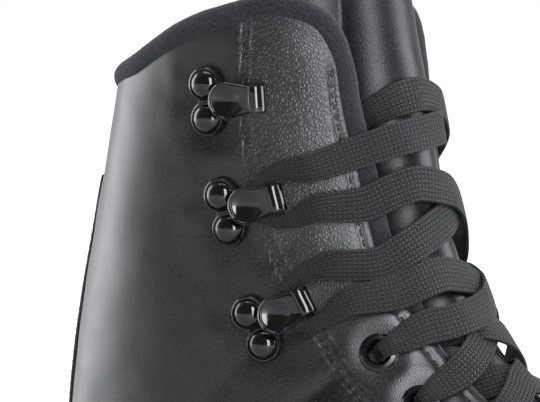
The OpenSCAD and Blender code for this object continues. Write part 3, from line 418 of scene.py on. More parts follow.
def last_point(t, a, o=0.0):
    """point on the upper, in mm: t from toe to collar, a round from the front line, o outward"""
    t, a, o = np.broadcast_arrays(np.asarray(t, float), np.asarray(a, float), np.asarray(o, float))
    r = station(t)
    turn = np.radians(a)
    c, s = np.cos(turn), np.sin(turn)
    n = np.where(c >= 0, r[..., 7], r[..., 8])
    h0 = np.sign(c) * np.abs(c) ** (2 / n)
    h = h0 + r[..., 6] * (1 - h0 * h0)
    b = np.where(s >= 0, 1, -1) * np.abs(s) ** (2 / n)
    half = np.hypot(r[..., 0] - r[..., 2], r[..., 1] - r[..., 3]) / 2
    shaft = t >= BALL
    kh, kv = np.where(shaft, 1 + o / half, 1), np.where(shaft, 1 + o / r[..., 4], 1)
    p = np.stack([(r[..., 0] + r[..., 2]) / 2 + (r[..., 0] - r[..., 2]) / 2 * h * kh,
                  r[..., 5] + r[..., 4] * b * kv,
                  (r[..., 1] + r[..., 3]) / 2 + (r[..., 1] - r[..., 3]) / 2 * h * kh], -1)
    q = STATIONS[BALL]
    shrink = np.stack([1 + o / (STATIONS[0, 0] - TOE_C[0]), 1 + o / q[4],
                       1 + o / (np.hypot(q[0] - q[2], q[1] - q[3]) / 2)], -1)
    return np.where(shaft[..., None], p, TOE_C + (p - TOE_C) * shrink)


def unit(v):
    return v / np.maximum(np.linalg.norm(v, axis=-1, keepdims=True), 1e-9)


def out_of(t, a):
    """unit vector out of the upper's surface"""
    t, a = np.asarray(t), np.asarray(a)
    round_boot = last_point(t, a + 1) - last_point(t, a - 1)
    up_boot = last_point(np.minimum(t + 0.05, LAST), a) - last_point(t - 0.05, a)
    return unit(np.cross(round_boot, up_boot))


def glide(x, table):
    """smooth curve through a short table, with no overshoot"""
    xs, ys = np.array([p[0] for p in table], float), np.array([p[1] for p in table], float)
    d = np.diff(ys) / np.diff(xs)
    m = np.zeros(len(xs))
    same = d[1:] * d[:-1] > 0
    m[1:-1][same] = 2 * d[1:][same] * d[:-1][same] / (d[1:][same] + d[:-1][same])
    m[0], m[-1] = d[0], d[-1]
    x = np.clip(np.asarray(x, float), xs[0], xs[-1])
    i = np.clip(np.searchsorted(xs, x) - 1, 0, len(xs) - 2)
    w = xs[i + 1] - xs[i]
    f = (x - xs[i]) / w
    return ((1 + 2 * f) * (1 - f) ** 2 * ys[i] + f * (1 - f) ** 2 * w * m[i]
            + f * f * (3 - 2 * f) * ys[i + 1] + f * f * (f - 1) * w * m[i + 1])


THROAT = [(5.8, 2), (6, 9), (6.25, 14), (6.6, 18), (7, 20), (7.5, 21.5), (8, 22.5), (8.55, 24), (9, 25),
          (9.77, 28.25), (10.48, 32), (11, 33), (11.65, 34.5), (12.38, 37.5), (13, 39.5), (16, 39.5)]
COLLAR = [(0, 13), (0.012, 13.27), (0.03, 13.5), (0.06, 13.74), (0.1, 13.88), (0.146, 13.98), (0.203, 14.07),
          (0.38, 14.05), (0.51, 13.97), (0.645, 13.89), (1, 13.87)]
T_SEAM = 5.8
EYELETS = [(9.67, 44.5), (8.87, 43), (8.1, 41), (7.35, 40.5), (6.65, 40)]
HOOKS = [(13.3, 80.8, 10), (12.17, 72.8, 16), (10.83, 66, 14)]
RIVET_X, RIVET_GAP = 5.5, 9.0
EYELET_HOLE_R = 3.1


def throat(t):
    """degrees from the front line to the throat's edge: straight between the points for one level,
    a smooth curve for a row of levels"""
    if np.ndim(t) == 0:
        return np.interp(t, *zip(*THROAT))
    return glide(t, THROAT)


def quarter_ta(u, v):
    t = T_SEAM + (glide(v, COLLAR) - T_SEAM) * u
    return t, throat(t) + (180 - throat(t)) * v


def local_frame(t, a, tilt=0.0):
    """origin, towards the throat, up the boot, outward"""
    n = out_of(t, a)
    rise = unit(last_point(t + 0.05, a) - last_point(t - 0.05, a))
    hand = -1 if a > 0 else 1
    fwd = unit(np.cross(rise, n)) * hand
    upward = np.cross(n, fwd) * hand
    c, s = math.cos(math.radians(tilt)), math.sin(math.radians(tilt))
    return last_point(t, a), fwd * c + upward * s, upward * c - fwd * s, n


def in_frame(f, x, y, z):
    return f[0] + f[1] * x + f[2] * y + f[3] * z


# ---------------------------------------------------------------- mesh helpers
def pick(*objects):
    """select these alone, with the first one active"""
    bpy.ops.object.select_all(action="DESELECT")
    for obj in objects:
        obj.select_set(True)
    bpy.context.view_layer.objects.active = objects[0]


def apply_modifier(obj, kind, **settings):
    pick(obj)
    step = obj.modifiers.new(kind.lower(), kind)
    for key, value in settings.items():
        setattr(step, key, value)
    bpy.ops.object.modifier_apply(modifier=step.name)


def smooth(obj, angle=None):
    if angle is None:
        obj.data.polygons.foreach_set("use_smooth", [True] * len(obj.data.polygons))
    else:
        pick(obj)
        bpy.ops.object.shade_smooth_by_angle(angle=math.radians(angle))
    obj.data.update()


def new_object(name, points, faces):
    """object with a mesh over points in mm"""
    mesh = bpy.data.meshes.new(name)
    mesh.from_pydata((np.array(points) * MM).tolist(), [], faces)
    obj = bpy.data.objects.new(name, mesh)
    bpy.context.collection.objects.link(obj)
    return obj


def store(mesh, key, values):
    mesh.attributes.new(key, "FLOAT", "POINT").data.foreach_set("value", values.astype(np.float32))


def skin(name, rows, outward, wrap=False, caps=False, drop=None, tip=None, uv=None, values=None):
    """mesh over a grid of points in mm; wrap joins the last column to the first, caps closes both ends,
    drop leaves points out and tip closes the first row to one point"""
    m, n, _ = rows.shape
    ids = np.arange(m * n).reshape(m, n)
    nxt = np.roll(ids, -1, 1) if wrap else ids[:, 1:]
    cur = ids if wrap else ids[:, :-1]
    quads = np.stack([cur[:-1], nxt[:-1], nxt[1:], cur[1:]], -1).reshape(-1, 4)
    pts = rows.reshape(-1, 3)
    if drop is not None:
        quads = quads[~drop.reshape(-1)[quads].any(1)]
    faces = [tuple(map(int, q)) for q in quads]
    if caps:
        faces += [tuple(map(int, ids[0][::-1])), tuple(map(int, ids[-1]))]
    if tip is not None:
        faces += [(m * n, int(ids[0][(j + 1) % n]), int(ids[0][j])) for j in range(n)]
        pts = np.vstack([pts, tip])
    across = np.cross(pts[quads[:, 2]] - pts[quads[:, 0]], pts[quads[:, 3]] - pts[quads[:, 1]])
    if (across * outward.reshape(-1, 3)[quads[:, 0]]).sum() < 0:
        faces = [f[::-1] for f in faces]
    obj = new_object(name, pts, faces)
    mesh = obj.data
    if uv is not None:
        layer = mesh.uv_layers.new(name="run")
        loops = np.empty(len(mesh.loops), np.int32)
        mesh.loops.foreach_get("vertex_index", loops)
        flat = uv.reshape(-1, 2)
        layer.data.foreach_set("uv", flat[np.minimum(loops, len(flat) - 1)].astype(np.float32).ravel())
    for key, value in (values or {}).items():
        held = np.zeros(len(pts), np.float32)
        held[:m * n] = value.reshape(-1)
        store(mesh, key, held)
    bpy.context.view_layer.update()
    smooth(obj)
    return obj


def block(name, top, under, values=None):
    """closed solid between two grids of points in mm"""
    m, n, _ = top.shape
    ids = np.arange(m * n).reshape(m, n)
    k = m * n
    quads = np.stack([ids[:-1, :-1], ids[:-1, 1:], ids[1:, 1:], ids[1:, :-1]], -1).reshape(-1, 4)
    ring = list(ids[0]) + list(ids[1:, -1]) + list(ids[-1, :-1][::-1]) + list(ids[1:-1, 0][::-1])
    faces = [tuple(map(int, q)) for q in quads] + [tuple(int(x) + k for x in q[::-1]) for q in quads]
    faces += [(int(b), int(a), int(a) + k, int(b) + k) for a, b in zip(ring, ring[1:] + ring[:1])]
    pts = np.vstack([top.reshape(-1, 3), under.reshape(-1, 3)])
    q = pts[quads]
    if (np.cross(q[:, 2] - q[:, 0], q[:, 3] - q[:, 1]) * (top - under).reshape(-1, 3)[quads[:, 0]]).sum() < 0:
        faces = [f[::-1] for f in faces]
    obj = new_object(name, pts, faces)
    for key, value in (values or {}).items():
        store(obj.data, key, np.tile(value.reshape(-1), 2))
    smooth(obj)
    return obj


def settle(obj, slot, finish, *nodes, body="boot"):
    """material, slot (not used), the CAD nodes that it stands for and the body that it rides"""
    obj.data.materials.clear()
    obj.data.materials.append(finish)
    if nodes:
        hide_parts(*nodes)
    if body:
        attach(obj, body)


def from_node(node, finish, slot, width_mm, sharp_angle):
    """a CAD solid's own shape with its sharp edges eased"""
    obj = bpy.data.objects.new(node + "_finished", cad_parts[node].data.copy())
    bpy.context.collection.objects.link(obj)
    work = bmesh.new()
    work.from_mesh(obj.data)
    bmesh.ops.remove_doubles(work, verts=work.verts, dist=2e-6)
    bmesh.ops.dissolve_limit(work, angle_limit=math.radians(1.0), verts=work.verts, edges=work.edges)
    work.to_mesh(obj.data)
    work.free()
    apply_modifier(obj, "BEVEL", width=width_mm * MM, segments=3, limit_method="ANGLE",
                   angle_limit=math.radians(sharp_angle), use_clamp_overlap=True)
    smooth(obj, 38)
    settle(obj, slot, finish, node)


def point_tree(points):
    tree = KDTree(len(points))
    for k, p in enumerate(points):
        tree.insert(p, k)
    tree.balance()
    return tree


def nearest(points, line):
    """distance from each point to a line's nearest point, and which point that is"""
    tree = point_tree(line)
    found = np.array([tree.find(p)[1:] for p in points.reshape(-1, 3)])
    return found[:, 1].reshape(points.shape[:-1]), found[:, 0].reshape(points.shape[:-1])


def ripple(points, length_mm, seed=0.0):
    flat = points.reshape(-1, 3) / length_mm + seed
    return np.array([noise.noise(Vector(p)) for p in flat]).reshape(points.shape[:-1])


def ease(x):
    x = np.clip(x, 0, 1)
    return x * x * (3 - 2 * x)


def hill(x, width):
    """1 where x is 0, and fading over the width on both sides"""
    return np.exp(-(x / width) ** 2)


def fall(x, width):
    """1 at an edge where x is 0, and 0 from the width inwards"""
    return (1 - np.clip(x / width, 0, 1)) ** 2


def along(points, step):
    """a polyline resampled at an even step"""
    run = np.concatenate([[0], np.cumsum(np.linalg.norm(np.diff(points, axis=0), axis=1))])
    at = np.arange(0, run[-1], step)
    return np.stack([np.interp(at, run, points[:, k]) for k in range(points.shape[1])], -1)


def running_mean(points, reach):
    """each point averaged with its neighbours up to reach away, with the ends held"""
    window = np.ones(2 * reach + 1) / (2 * reach + 1)
    return np.stack([np.convolve(np.pad(points[:, k], reach, mode="edge"), window, "valid")
                     for k in range(points.shape[1])], -1)


def stitches(name, line, normals, slot, pitch, length, width, lift):
    """a row of separate thread stitches lying on a line, each a short bent bead whose ends dip in"""
    step_mm, sides = 0.2, 6
    both = along(np.hstack([line, normals]), step_mm)
    step = int(round(pitch / step_mm))
    half = int(round(length / 2 / step_mm))
    verts, faces = [], []
    profile = [(-1, 0.3, -0.42), (-0.6, 0.85, 0.05), (0, 1.0, 0.2), (0.6, 0.85, 0.05), (1, 0.3, -0.42)]
    for c in range(half, len(both) - half, step):
        p, n = both[c, :3], unit(both[c, 3:])
        d = unit(both[min(c + half, len(both) - 1), :3] - both[max(c - half, 0), :3])
        b = np.cross(n, d)
        base = len(verts)
        for x, r, z in profile:
            for k in range(sides):
                ang = k * 2 * math.pi / sides
                verts.append(p + d * x * length / 2 + b * math.cos(ang) * r * width / 2
                             + n * (lift + z * width + math.sin(ang) * r * width / 2))
        for ring in range(base, base + (len(profile) - 1) * sides, sides):
            for k in range(sides):
                after = (k + 1) % sides
                faces.append((ring + k, ring + after, ring + sides + after, ring + sides + k))
        last_ring = base + (len(profile) - 1) * sides
        faces.append(tuple(base + k for k in reversed(range(sides))))
        faces.append(tuple(last_ring + k for k in range(sides)))
    obj = new_object(name, verts, faces)
    work = bmesh.new()
    work.from_mesh(obj.data)
    bmesh.ops.recalc_face_normals(work, faces=work.faces)
    work.to_mesh(obj.data)
    work.free()
    smooth(obj)
    settle(obj, slot, thread)


# ---------------------------------------------------------------- uppers
FLAP = [(14.0, 77.5), (12.98, 74.25), (12.42, 71), (11.85, 67), (11.08, 61), (10.45, 57), (9.4, 55.5),
        (8.4, 54), (7.4, 53.5), (6.6, 54), (5.9, 58)]
PITCH, STITCH_L, STITCH_W = 2.9, 2.1, 0.62
ANKLE_CREASES = ((8.15, 0.55, 75), (8.95, 0.7, 95), (9.75, 0.6, 105), (10.6, 0.35, 90), (11.5, 0.22, 80))
VAMP_CREASES = ((4.55, 0.28), (5.05, 0.42), (5.5, 0.3))
GRAIN_UP_FLAP = [(6, 0.1), (9.6, 0.16), (11, 0.5), (12.3, 0.85), (16, 1)]
UNDERLAP = 0.014


def surface_line(side, pairs, count=400):
    """points and normals along a smooth line on the upper, given by levels and angles"""
    pairs = np.array(pairs, float)
    run = np.linspace(0, len(pairs) - 1, len(pairs))
    at = np.linspace(0, len(pairs) - 1, count)
    t = glide(at, list(zip(run, pairs[:, 0])))
    a = glide(at, list(zip(run, pairs[:, 1]))) * side
    return last_point(t, a), out_of(t, a)


def throat_seam():
    return [(q, throat(q) + 5.2) for q in np.linspace(6.1, 13.2, 15)]


def vamp_step(u):
    """the quarters' raised front edge, where they lap over the vamp"""
    return 0.95 * (1 - ease(u / 0.05))


def seam_relief(side, p, front):
    """the raised flap with its puckered seam, and the seam beside the throat"""
    flap_line, _ = surface_line(side, FLAP)
    to_flap, at_flap = nearest(p, flap_line)
    run = np.linalg.norm(flap_line[1] - flap_line[0]) * at_flap
    beat = np.sin(run * 2 * math.pi / PITCH) + 0.8 * ripple(p, 4.0, 2.2)
    d = 0.45 * front - 0.75 * hill(to_flap, 0.7) + 0.34 * hill(to_flap - 1.15, 0.55) * (1 + 0.5 * beat)
    to_throat, _ = nearest(p, surface_line(side, throat_seam())[0])
    return d - 0.38 * hill(to_throat, 0.7)


def fastener_relief(side, p):
    """leather drawn in by rivets and eyelets, and the points that the eyelet holes leave out"""
    d = np.zeros(p.shape[:2])
    hole = np.zeros(p.shape[:2], bool)
    for ht, ha, tilt in HOOKS:
        f = local_frame(ht, ha * side, tilt)
        for e in (-1, 1):
            r = np.linalg.norm(p - in_frame(f, -RIVET_X, e * RIVET_GAP / 2, 0), axis=-1)
            d += -0.6 * hill(r, 6.0) + 0.22 * hill(r - 11, 4.5)
        q = p - in_frame(f, -RIVET_X, 0, 0)
        turn = np.arctan2(q @ f[2], q @ f[1])
        d += 0.08 * hill(np.linalg.norm(q, axis=-1) - 12, 4.0) * np.sin(7 * turn + 3 * ht)
    for et, ea in EYELETS:
        r = np.linalg.norm(p - last_point(et, ea * side), axis=-1)
        d += -0.55 * hill(r, 4.6) + 0.22 * hill(r - 8.5, 2.5)
        hole |= r < EYELET_HOLE_R
    return d, hole


def quarter(side, name, node):
    """one side of the upper; a degree round the shaft is 0.62 to 0.65 mm"""
    u, v = np.linspace(-UNDERLAP, 1, 236)[:, None], np.linspace(0, 1, 146)[None, :]
    t, a = quarter_ta(u, v)
    p, n = last_point(t, a * side), out_of(t, a * side)
    into_flap = (glide(-t, [(-q[0], q[1]) for q in FLAP]) - a) * 0.65
    d, hole = fastener_relief(side, p)
    d += seam_relief(side, p, ease(into_flap / 1.4 + 0.5))
    d += (0.55 * ripple(p, 30, 0.4) + 0.2 * ripple(p, 11, 5.2)) * ease(u * 6)
    for level_t, depth, reach in ANKLE_CREASES:
        wander = (t - level_t) * 15 + 2.2 * ripple(p, 16, level_t) - 0.03 * (a - 60)
        d -= depth * hill(wander, 2.3) * ease((a - 50) / 14) * ease((reach + 30 - a) / 45)
    d -= 0.9 * fall((a - throat(t)) * 0.64, 1.7) + 0.5 * fall((180 - a) * 0.62, 1.3)
    d += vamp_step(u) - 0.8 * fall(u + UNDERLAP, 0.012)
    grain = 0.08 + 0.9 * ease(into_flap / 7 + 0.75) * glide(t, GRAIN_UP_FLAP)
    outer = p + n * d[..., None]
    shell = skin(name, outer, outward=n, drop=hole, values={"flap_grain": grain})
    apply_modifier(shell, "SOLIDIFY", thickness=LEATHER * MM, offset=-1)
    settle(shell, "black_leather", leather, node)
    quarter_stitches(side, node, outer)


def quarter_stitches(side, node, outer):
    near = point_tree(outer.reshape(-1, 3))
    for row, seam in (("flap", FLAP), ("throat", throat_seam())):
        line, n = surface_line(side, seam, 500)
        line = running_mean(np.array([near.find(q)[0] for q in line]), 6)
        stitches(f"{node}_{row}_stitches", line, n, "black_leather", PITCH, STITCH_L, STITCH_W, 0.16)
    for k, u in enumerate((0.018, 0.030)):
        t, a = quarter_ta(np.full(400, u), np.linspace(0.03, 0.93, 400))
        n = out_of(t, a * side)
        line = last_point(t, a * side) + n * (vamp_step(u) + 0.05)
        stitches(f"{node}_vamp_seam_stitches_{k + 1}", line, n, "black_leather", PITCH, STITCH_L, STITCH_W,
                 0.05)


def vamp():
    t, a = np.broadcast_arrays(np.linspace(0, T_SEAM + 0.06, 130)[:, None],
                               np.linspace(0, 360, 220, endpoint=False)[None, :])
    p, n = last_point(t, a), out_of(np.maximum(t, 0.06), a)
    top_side = ease((np.cos(np.radians(a)) + 0.25) / 0.6)
    d = 0.35 * ripple(p, 26, 2.0) * ease(t / 2)
    for level_t, depth in VAMP_CREASES:
        wander = (t - level_t) * 27 + 3.0 * ripple(p, 20, level_t) + 2.0 * np.cos(np.radians(a * 2))
        d -= depth * hill(wander, 2.6) * top_side
    d = np.where(t > T_SEAM - 0.12, np.minimum(d, 0) - 0.1, d)
    tip = np.array([STATIONS[0, 0] + 0.3, STATIONS[0, 5], (STATIONS[0, 1] + STATIONS[0, 3]) / 2])
    shell = skin("vamp_leather", p + n * d[..., None], wrap=True, outward=n, tip=tip,
                 values={"flap_grain": 0.18 * np.ones_like(t)})
    apply_modifier(shell, "SOLIDIFY", thickness=LEATHER * 0.9 * MM, offset=-1)
    settle(shell, "black_leather", leather, "vamp")


def ankle_lining(side, name):
    """knitted lining inside the ankle"""
    t, a = quarter_ta(np.linspace(0, 1, 120)[:, None], np.linspace(0.4, 1, 70)[None, :])
    p, n = last_point(t, a * side, -LEATHER - PADDING), out_of(t, a * side)
    d = 0.35 * ripple(p, 22, 7.0) - 0.2
    half = skin(name, p + n * d[..., None], outward=n)
    apply_modifier(half, "SOLIDIFY", thickness=LINING * 0.95 * MM, offset=-1)
    settle(half, "lining_textile", knit, "quarter_lining")


quarter(-1, "lateral_quarter_leather", "quarter_lateral")
quarter(1, "medial_quarter_leather", "quarter_medial")
vamp()
ankle_lining(-1, "lateral_ankle_lining")
ankle_lining(1, "medial_ankle_lining")


# ---------------------------------------------------------------- felt round the collar and up the back
FELT_START = 9 / 17
BACK0, BACK1, BACK_A, BACK_HALF = 10.3, 13.3, 13, 8.2


def collar_roll():
    """felt roll up the throat on both sides and round the collar"""
    legs = []
    for side in (-1, 1):
        us, vs = np.linspace(FELT_START, 1, 100), np.linspace(0, 1, 190)
        edge, rim = quarter_ta(us, np.zeros_like(us)), quarter_ta(np.ones_like(vs), vs)
        leg = np.hstack([np.array(edge)[:, :-1], np.array(rim)])
        leg[1] *= side
        legs.append(leg if side < 0 else leg[:, ::-1][:, 1:])
    t, a = np.hstack(legs)
    a = np.where(a > 180 - 1e-6, 180, a)
    outer, inner = last_point(t, a), last_point(t, a, -WALL)
    keep = np.ones(len(outer), bool)
    keep[1:] = np.linalg.norm(np.diff(outer, axis=0), axis=1) > 0.05
    pair = running_mean(along(np.hstack([outer, inner])[keep], 1.0), 4)
    outer, inner = pair[:, :3], pair[:, 3:]
    b = unit(outer - inner)
    out = unit(np.cross(unit(np.gradient(outer, axis=0)), b))
    wall = np.linalg.norm(outer - inner, axis=1)
    to_end = np.minimum(np.arange(len(outer)), np.arange(len(outer))[::-1])
    full = 0.3 + 0.7 * ease(to_end / 14)
    outside = [(-1.6, 0.0), (-1.5, 0.5), (-1.1, 0.85), (-0.5, 1.1), (0.2, 1.25), (0.9, 1.35), (2.0, 1.25),
               (3.1, 0.75), (3.9, -0.3), (4.25, -1.5)]
    inside = [(4.25, 1.5), (3.9, 0.3), (3.1, -0.8), (2.0, -1.3), (0.5, -1.35), (-0.8, -1.05), (-2.2, -1.0),
              (-2.9, -0.1)]
    section = [(x, z + 0 * wall) for x, z in outside] + [(4.3, -wall / 2)]
    section += [(x, z - wall) for x, z in inside]
    grid = np.stack([outer + out * (x * full)[:, None] + b * z[:, None] for x, z in section], 1)
    centre = grid.mean(1, keepdims=True)
    puff = 1 + 0.05 * ripple(outer, 7, 1.5)[:, None, None] + 0.03 * ripple(outer, 2.5, 8.5)[:, None, None]
    grid = centre + (grid - centre) * puff
    roll = skin("collar_felt_roll", grid, wrap=True, caps=True, outward=unit(grid - centre))
    apply_modifier(roll, "SUBSURF", levels=1, render_levels=1)
    smooth(roll)
    settle(roll, "felt", felt, "collar_binding")


def back_strip():
    """felt strip sewn down over the back seam, narrower towards the collar"""
    def half_angle(t):
        return BACK_A * (1 - 0.12 * ease((t - 12.4) / 0.9))

    t, q = np.broadcast_arrays(np.linspace(BACK0, BACK1, 150)[:, None], np.linspace(-1, 1, 34)[None, :])
    a = 180 + q * half_angle(t)
    to_edge = np.minimum((1 - np.abs(q)) * BACK_HALF, np.minimum(t - BACK0, BACK1 - t) * 42)
    p, n = last_point(t, a), out_of(t, a)
    lift = 2.5 - 1.5 * fall(to_edge, 1.6) - 0.35 * hill(to_edge - 2.1, 0.7) + 0.12 * ripple(p, 9)
    strip = block("back_seam_strip", p + n * lift[..., None], p + n * 0.15)
    settle(strip, "felt", felt, "backstay")
    for side, mark in ((-1, "a"), (1, "b")):
        t = np.linspace(BACK0 + 0.05, BACK1 - 0.05, 400)
        a = 180 + side * (1 - 2.1 / BACK_HALF) * half_angle(t)
        n = out_of(t, a)
        stitches(f"back_strip_stitches_{mark}", last_point(t, a) + n * 2.15, n, "felt", 3.0, 2.2, 0.65, 0.12)


collar_roll()
back_strip()


# ---------------------------------------------------------------- tongue and lace route
T_TONGUE0, T_TONGUE1, DROP, CROWN, SPREAD = 5.0, 14.75, 9.2, 8.0, 62.0
LACE_W, LACE_T, GAP = 9.0, 1.2, 0.3
REST = GAP + 0.65 + LACE_T / 2
OVER = 2.6
STAND, SHEET = 0.3, 1.2
UNDER = -WALL - 0.45 - 0.8 - 0.55 - LACE_T / 2


def past_throat(t):
    """how many degrees the tongue shows beyond the throat's edge, less than none near the top"""
    return np.interp(t, [9.4, 10.4], [2, -6])


def tongue_height(t, a):
    edge = throat(np.asarray(t, float) + np.zeros(1)) + past_throat(t)
    q = np.minimum(1, np.abs(a) / edge)
    lean = np.interp(t, [12.8, 13.4, 14, T_TONGUE1], [0, 0.25, 0.5, 1])
    rise = np.interp(t, [5.6, 6.3, 7.2, 8, 12.8, T_TONGUE1], [0, 0.25, 0.8, 1, 1, 0.75])
    return -DROP + CROWN * rise * (1 - q * q) - 4 * lean


def tongue_point(t, a):
    return last_point(t, a, tongue_height(t, a)).reshape(3)


def waypoint(f, x, y, z, w, th=LACE_T):
    """a lace point in a local frame: its place, the way its flat side faces, its width and thickness"""
    return in_frame(f, x, y, z), f[3], w, th


def on_wall(t, a, o, w=LACE_W):
    n = out_of(t, a)
    return last_point(t, a) + n * o, n, w, LACE_T


def on_tongue(t, a, lift, w=LACE_W):
    p = tongue_point(t, a)
    n = unit(np.cross(tongue_point(t, a + 1) - tongue_point(t, a - 1),
                      tongue_point(t + 0.05, a) - tongue_point(t - 0.05, a)))
    return p + n * (REST + lift), n, w, LACE_T


def through_eyelet(k, s):
    f = local_frame(EYELETS[k][0], s * EYELETS[k][1])
    inside = [(in_frame(f, x, 0, z), unit(faces), 4.4, 1.8)
              for x, z, faces in ((0.6, 1.4, f[3] + f[1]), (0, -2.5, f[1]), (0.6, UNDER + 0.6, f[1] - f[3]))]
    outside = [waypoint(f, 6.5, 0, 2.3, 7), waypoint(f, 3, 0, 2.6, 5, 1.4)]
    return [*outside, *inside, waypoint(f, 3.4, 0, UNDER, 5)]


def round_hook(k, s):
    f = local_frame(HOOKS[k][0], s * HOOKS[k][1], HOOKS[k][2])
    z = STAND + SHEET + 0.9
    half = [(19, 5.4, 2.4, 7), (13.5, 6.4, 2.5, 4.6), (8.5, 5.9, z, 3.4), (5.1, 4, z, 3)]
    back_again = [(x, -y, h, w) for x, y, h, w in half[::-1]]
    return [waypoint(f, *p) for p in half + [(3.9, 0, z, 3)] + back_again]


def level(t0, tm, t1, q):
    """how high a pass is at a share q of its way from t0, over the front line at tm, to t1"""
    return t0 * (1 - q) * (1 - 2 * q) + 4 * tm * q * (1 - q) + t1 * q * (2 * q - 1)


def dive(s, t0, tm, t1, lift):
    """a pass from under one wall, over the tongue and out over the other wall"""
    e0, e1 = float(throat(t0)) + float(past_throat(t0)), float(throat(t1))
    near = [on_tongue(level(t0, tm, t1, q), s * e0 * share, up_by, LACE_W * wide)
            for q, share, up_by, wide in ((0.07, 1.03, 0, 0.5), (0.17, 0.75, 0.1, 0.8), (0.3, 0.45, 0, 1),
                                          (0.43, 0.15, lift, 1))]
    middle = [on_tongue(level(t0, tm, t1, 0.57), -s * e1 * 0.15, lift)]
    far = [on_wall(level(t0, tm, t1, q), -s * e1 * share, o)
           for q, share, o in ((0.73, 0.5, 1.5 + lift * 0.6), (0.86, 0.78, OVER), (0.95, 1.04, OVER))]
    return near + middle + far


def over(s, t0, tm, t1, lift):
    """a pass that lies over both walls and sags to the tongue between them"""
    e0, e1 = float(throat(t0)), float(throat(t1))
    high, sag = OVER + 0.2, 1.8 + lift * 0.6
    near = [on_wall(level(t0, tm, t1, q), s * e0 * share, o)
            for q, share, o in ((0, 1.05, high), (0.13, 0.78, high), (0.25, 0.5, sag))]
    middle = [on_tongue(level(t0, tm, t1, q), angle, 0.3 + lift)
              for q, angle in ((0.43, s * e0 * 0.15), (0.57, -s * e1 * 0.15))]
    far = [on_wall(level(t0, tm, t1, q), -s * e1 * share, o)
           for q, share, o in ((0.75, 0.5, sag), (0.87, 0.78, high), (1, 1.05, high))]
    return near + middle + far


def half_lace(s, lift):
    """one half of the lace, from its tucked end down to the lowest eyelet"""
    e = [k[0] for k in EYELETS]
    tucked = -DROP + 1.85

    def down(side, k):
        return dive(side, e[k], (e[k] + e[k + 1]) / 2, e[k + 1], lift) + through_eyelet(k + 1, -side)

    return ([on_wall(12.5, s * 57, tucked - 0.3, 3), on_wall(12.5, s * 54, tucked, 6),
             on_wall(12.52, s * 47, tucked, 8)]
            + dive(s, 12.45, 12.25 - 0.25 * s, 12.1, lift) + round_hook(1, -s)
            + over(-s, 11.4, 10.98 + 0.2 * s, 10.6, lift) + round_hook(2, s)
            + over(s, 10.15, 9.75 - 0.22 * s, 9.6, lift) + through_eyelet(0, -s)
            + down(-s, 0) + down(s, 1) + down(-s, 2) + down(s, 3))


def lace_path(step_mm):
    """smooth curve through the lace's points: place, flat side, width, thickness and distance run"""
    bar = [on_tongue(EYELETS[4][0] - 0.1, q, 0, LACE_W * 0.8) for q in (24, 16, 8, 0, -8, -16, -24)]
    route = half_lace(-1, 0) + bar + half_lace(1, 1.7)[::-1]
    pts = np.array([np.concatenate([r[0], r[1], [r[2], r[3]]]) for r in route])
    run = np.concatenate([[0], np.cumsum(np.linalg.norm(np.diff(pts[:, :3], axis=0), axis=1))])
    slope = np.gradient(pts, run, axis=0) * 0.85
    at = np.arange(0, run[-1], step_mm)
    i = np.clip(np.searchsorted(run, at, side="right") - 1, 0, len(run) - 2)
    w = (run[i + 1] - run[i])[:, None]
    f = (at - run[i])[:, None] / w
    path = ((1 + 2 * f) * (1 - f) ** 2 * pts[i] + f * (1 - f) ** 2 * w * slope[i]
            + f * f * (3 - 2 * f) * pts[i + 1] + f * f * (f - 1) * w * slope[i + 1])
    return path[:, :3], path[:, 3:6], path[:, 6], path[:, 7], at, run[-1]


def braided_lace():
    """the whole lace, thicker where it is squeezed narrow; gives its middle line and its length"""
    centre, flat, width, thick, at, length = lace_path(0.75)
    d = unit(np.gradient(centre, axis=0))
    b = unit(np.cross(d, flat))
    top = np.cross(b, d)
    sway = 0.05 * ripple(centre, 12, 4.0)
    width = width * (1 + 0.07 * ripple(centre, 18, 6.0))
    thick = np.clip(thick * np.clip(LACE_W / width, 1, 1.9) ** 0.45, 1.2, 1.9)
    b, top = b + top * sway[:, None], top - b * sway[:, None]
    turn = 2 * math.pi * np.arange(32) / 32
    cx, cz = np.cos(turn), np.sin(turn)
    x = np.sign(cx) * np.abs(cx) ** 0.55
    z = np.sign(cz) * np.abs(cz) ** 0.42
    z = z * np.where(np.abs(x) < 0.97, 0.84 + 0.2 * np.abs(np.cos(2 * math.pi * x)), 1)
    rows = (centre[:, None] + b[:, None] * (width / 2)[:, None, None] * x[None, :, None]
            + top[:, None] * (thick / 2)[:, None, None] * z[None, :, None])
    uv = np.stack(np.broadcast_arrays(((x + 1) / 2)[None, :], at[:, None]), -1)
    lace = skin("braided_lace", rows, wrap=True, caps=True, outward=unit(rows - centre[:, None]), uv=uv)
    settle(lace, "lace_cotton", braid, "lace")
    return centre, length


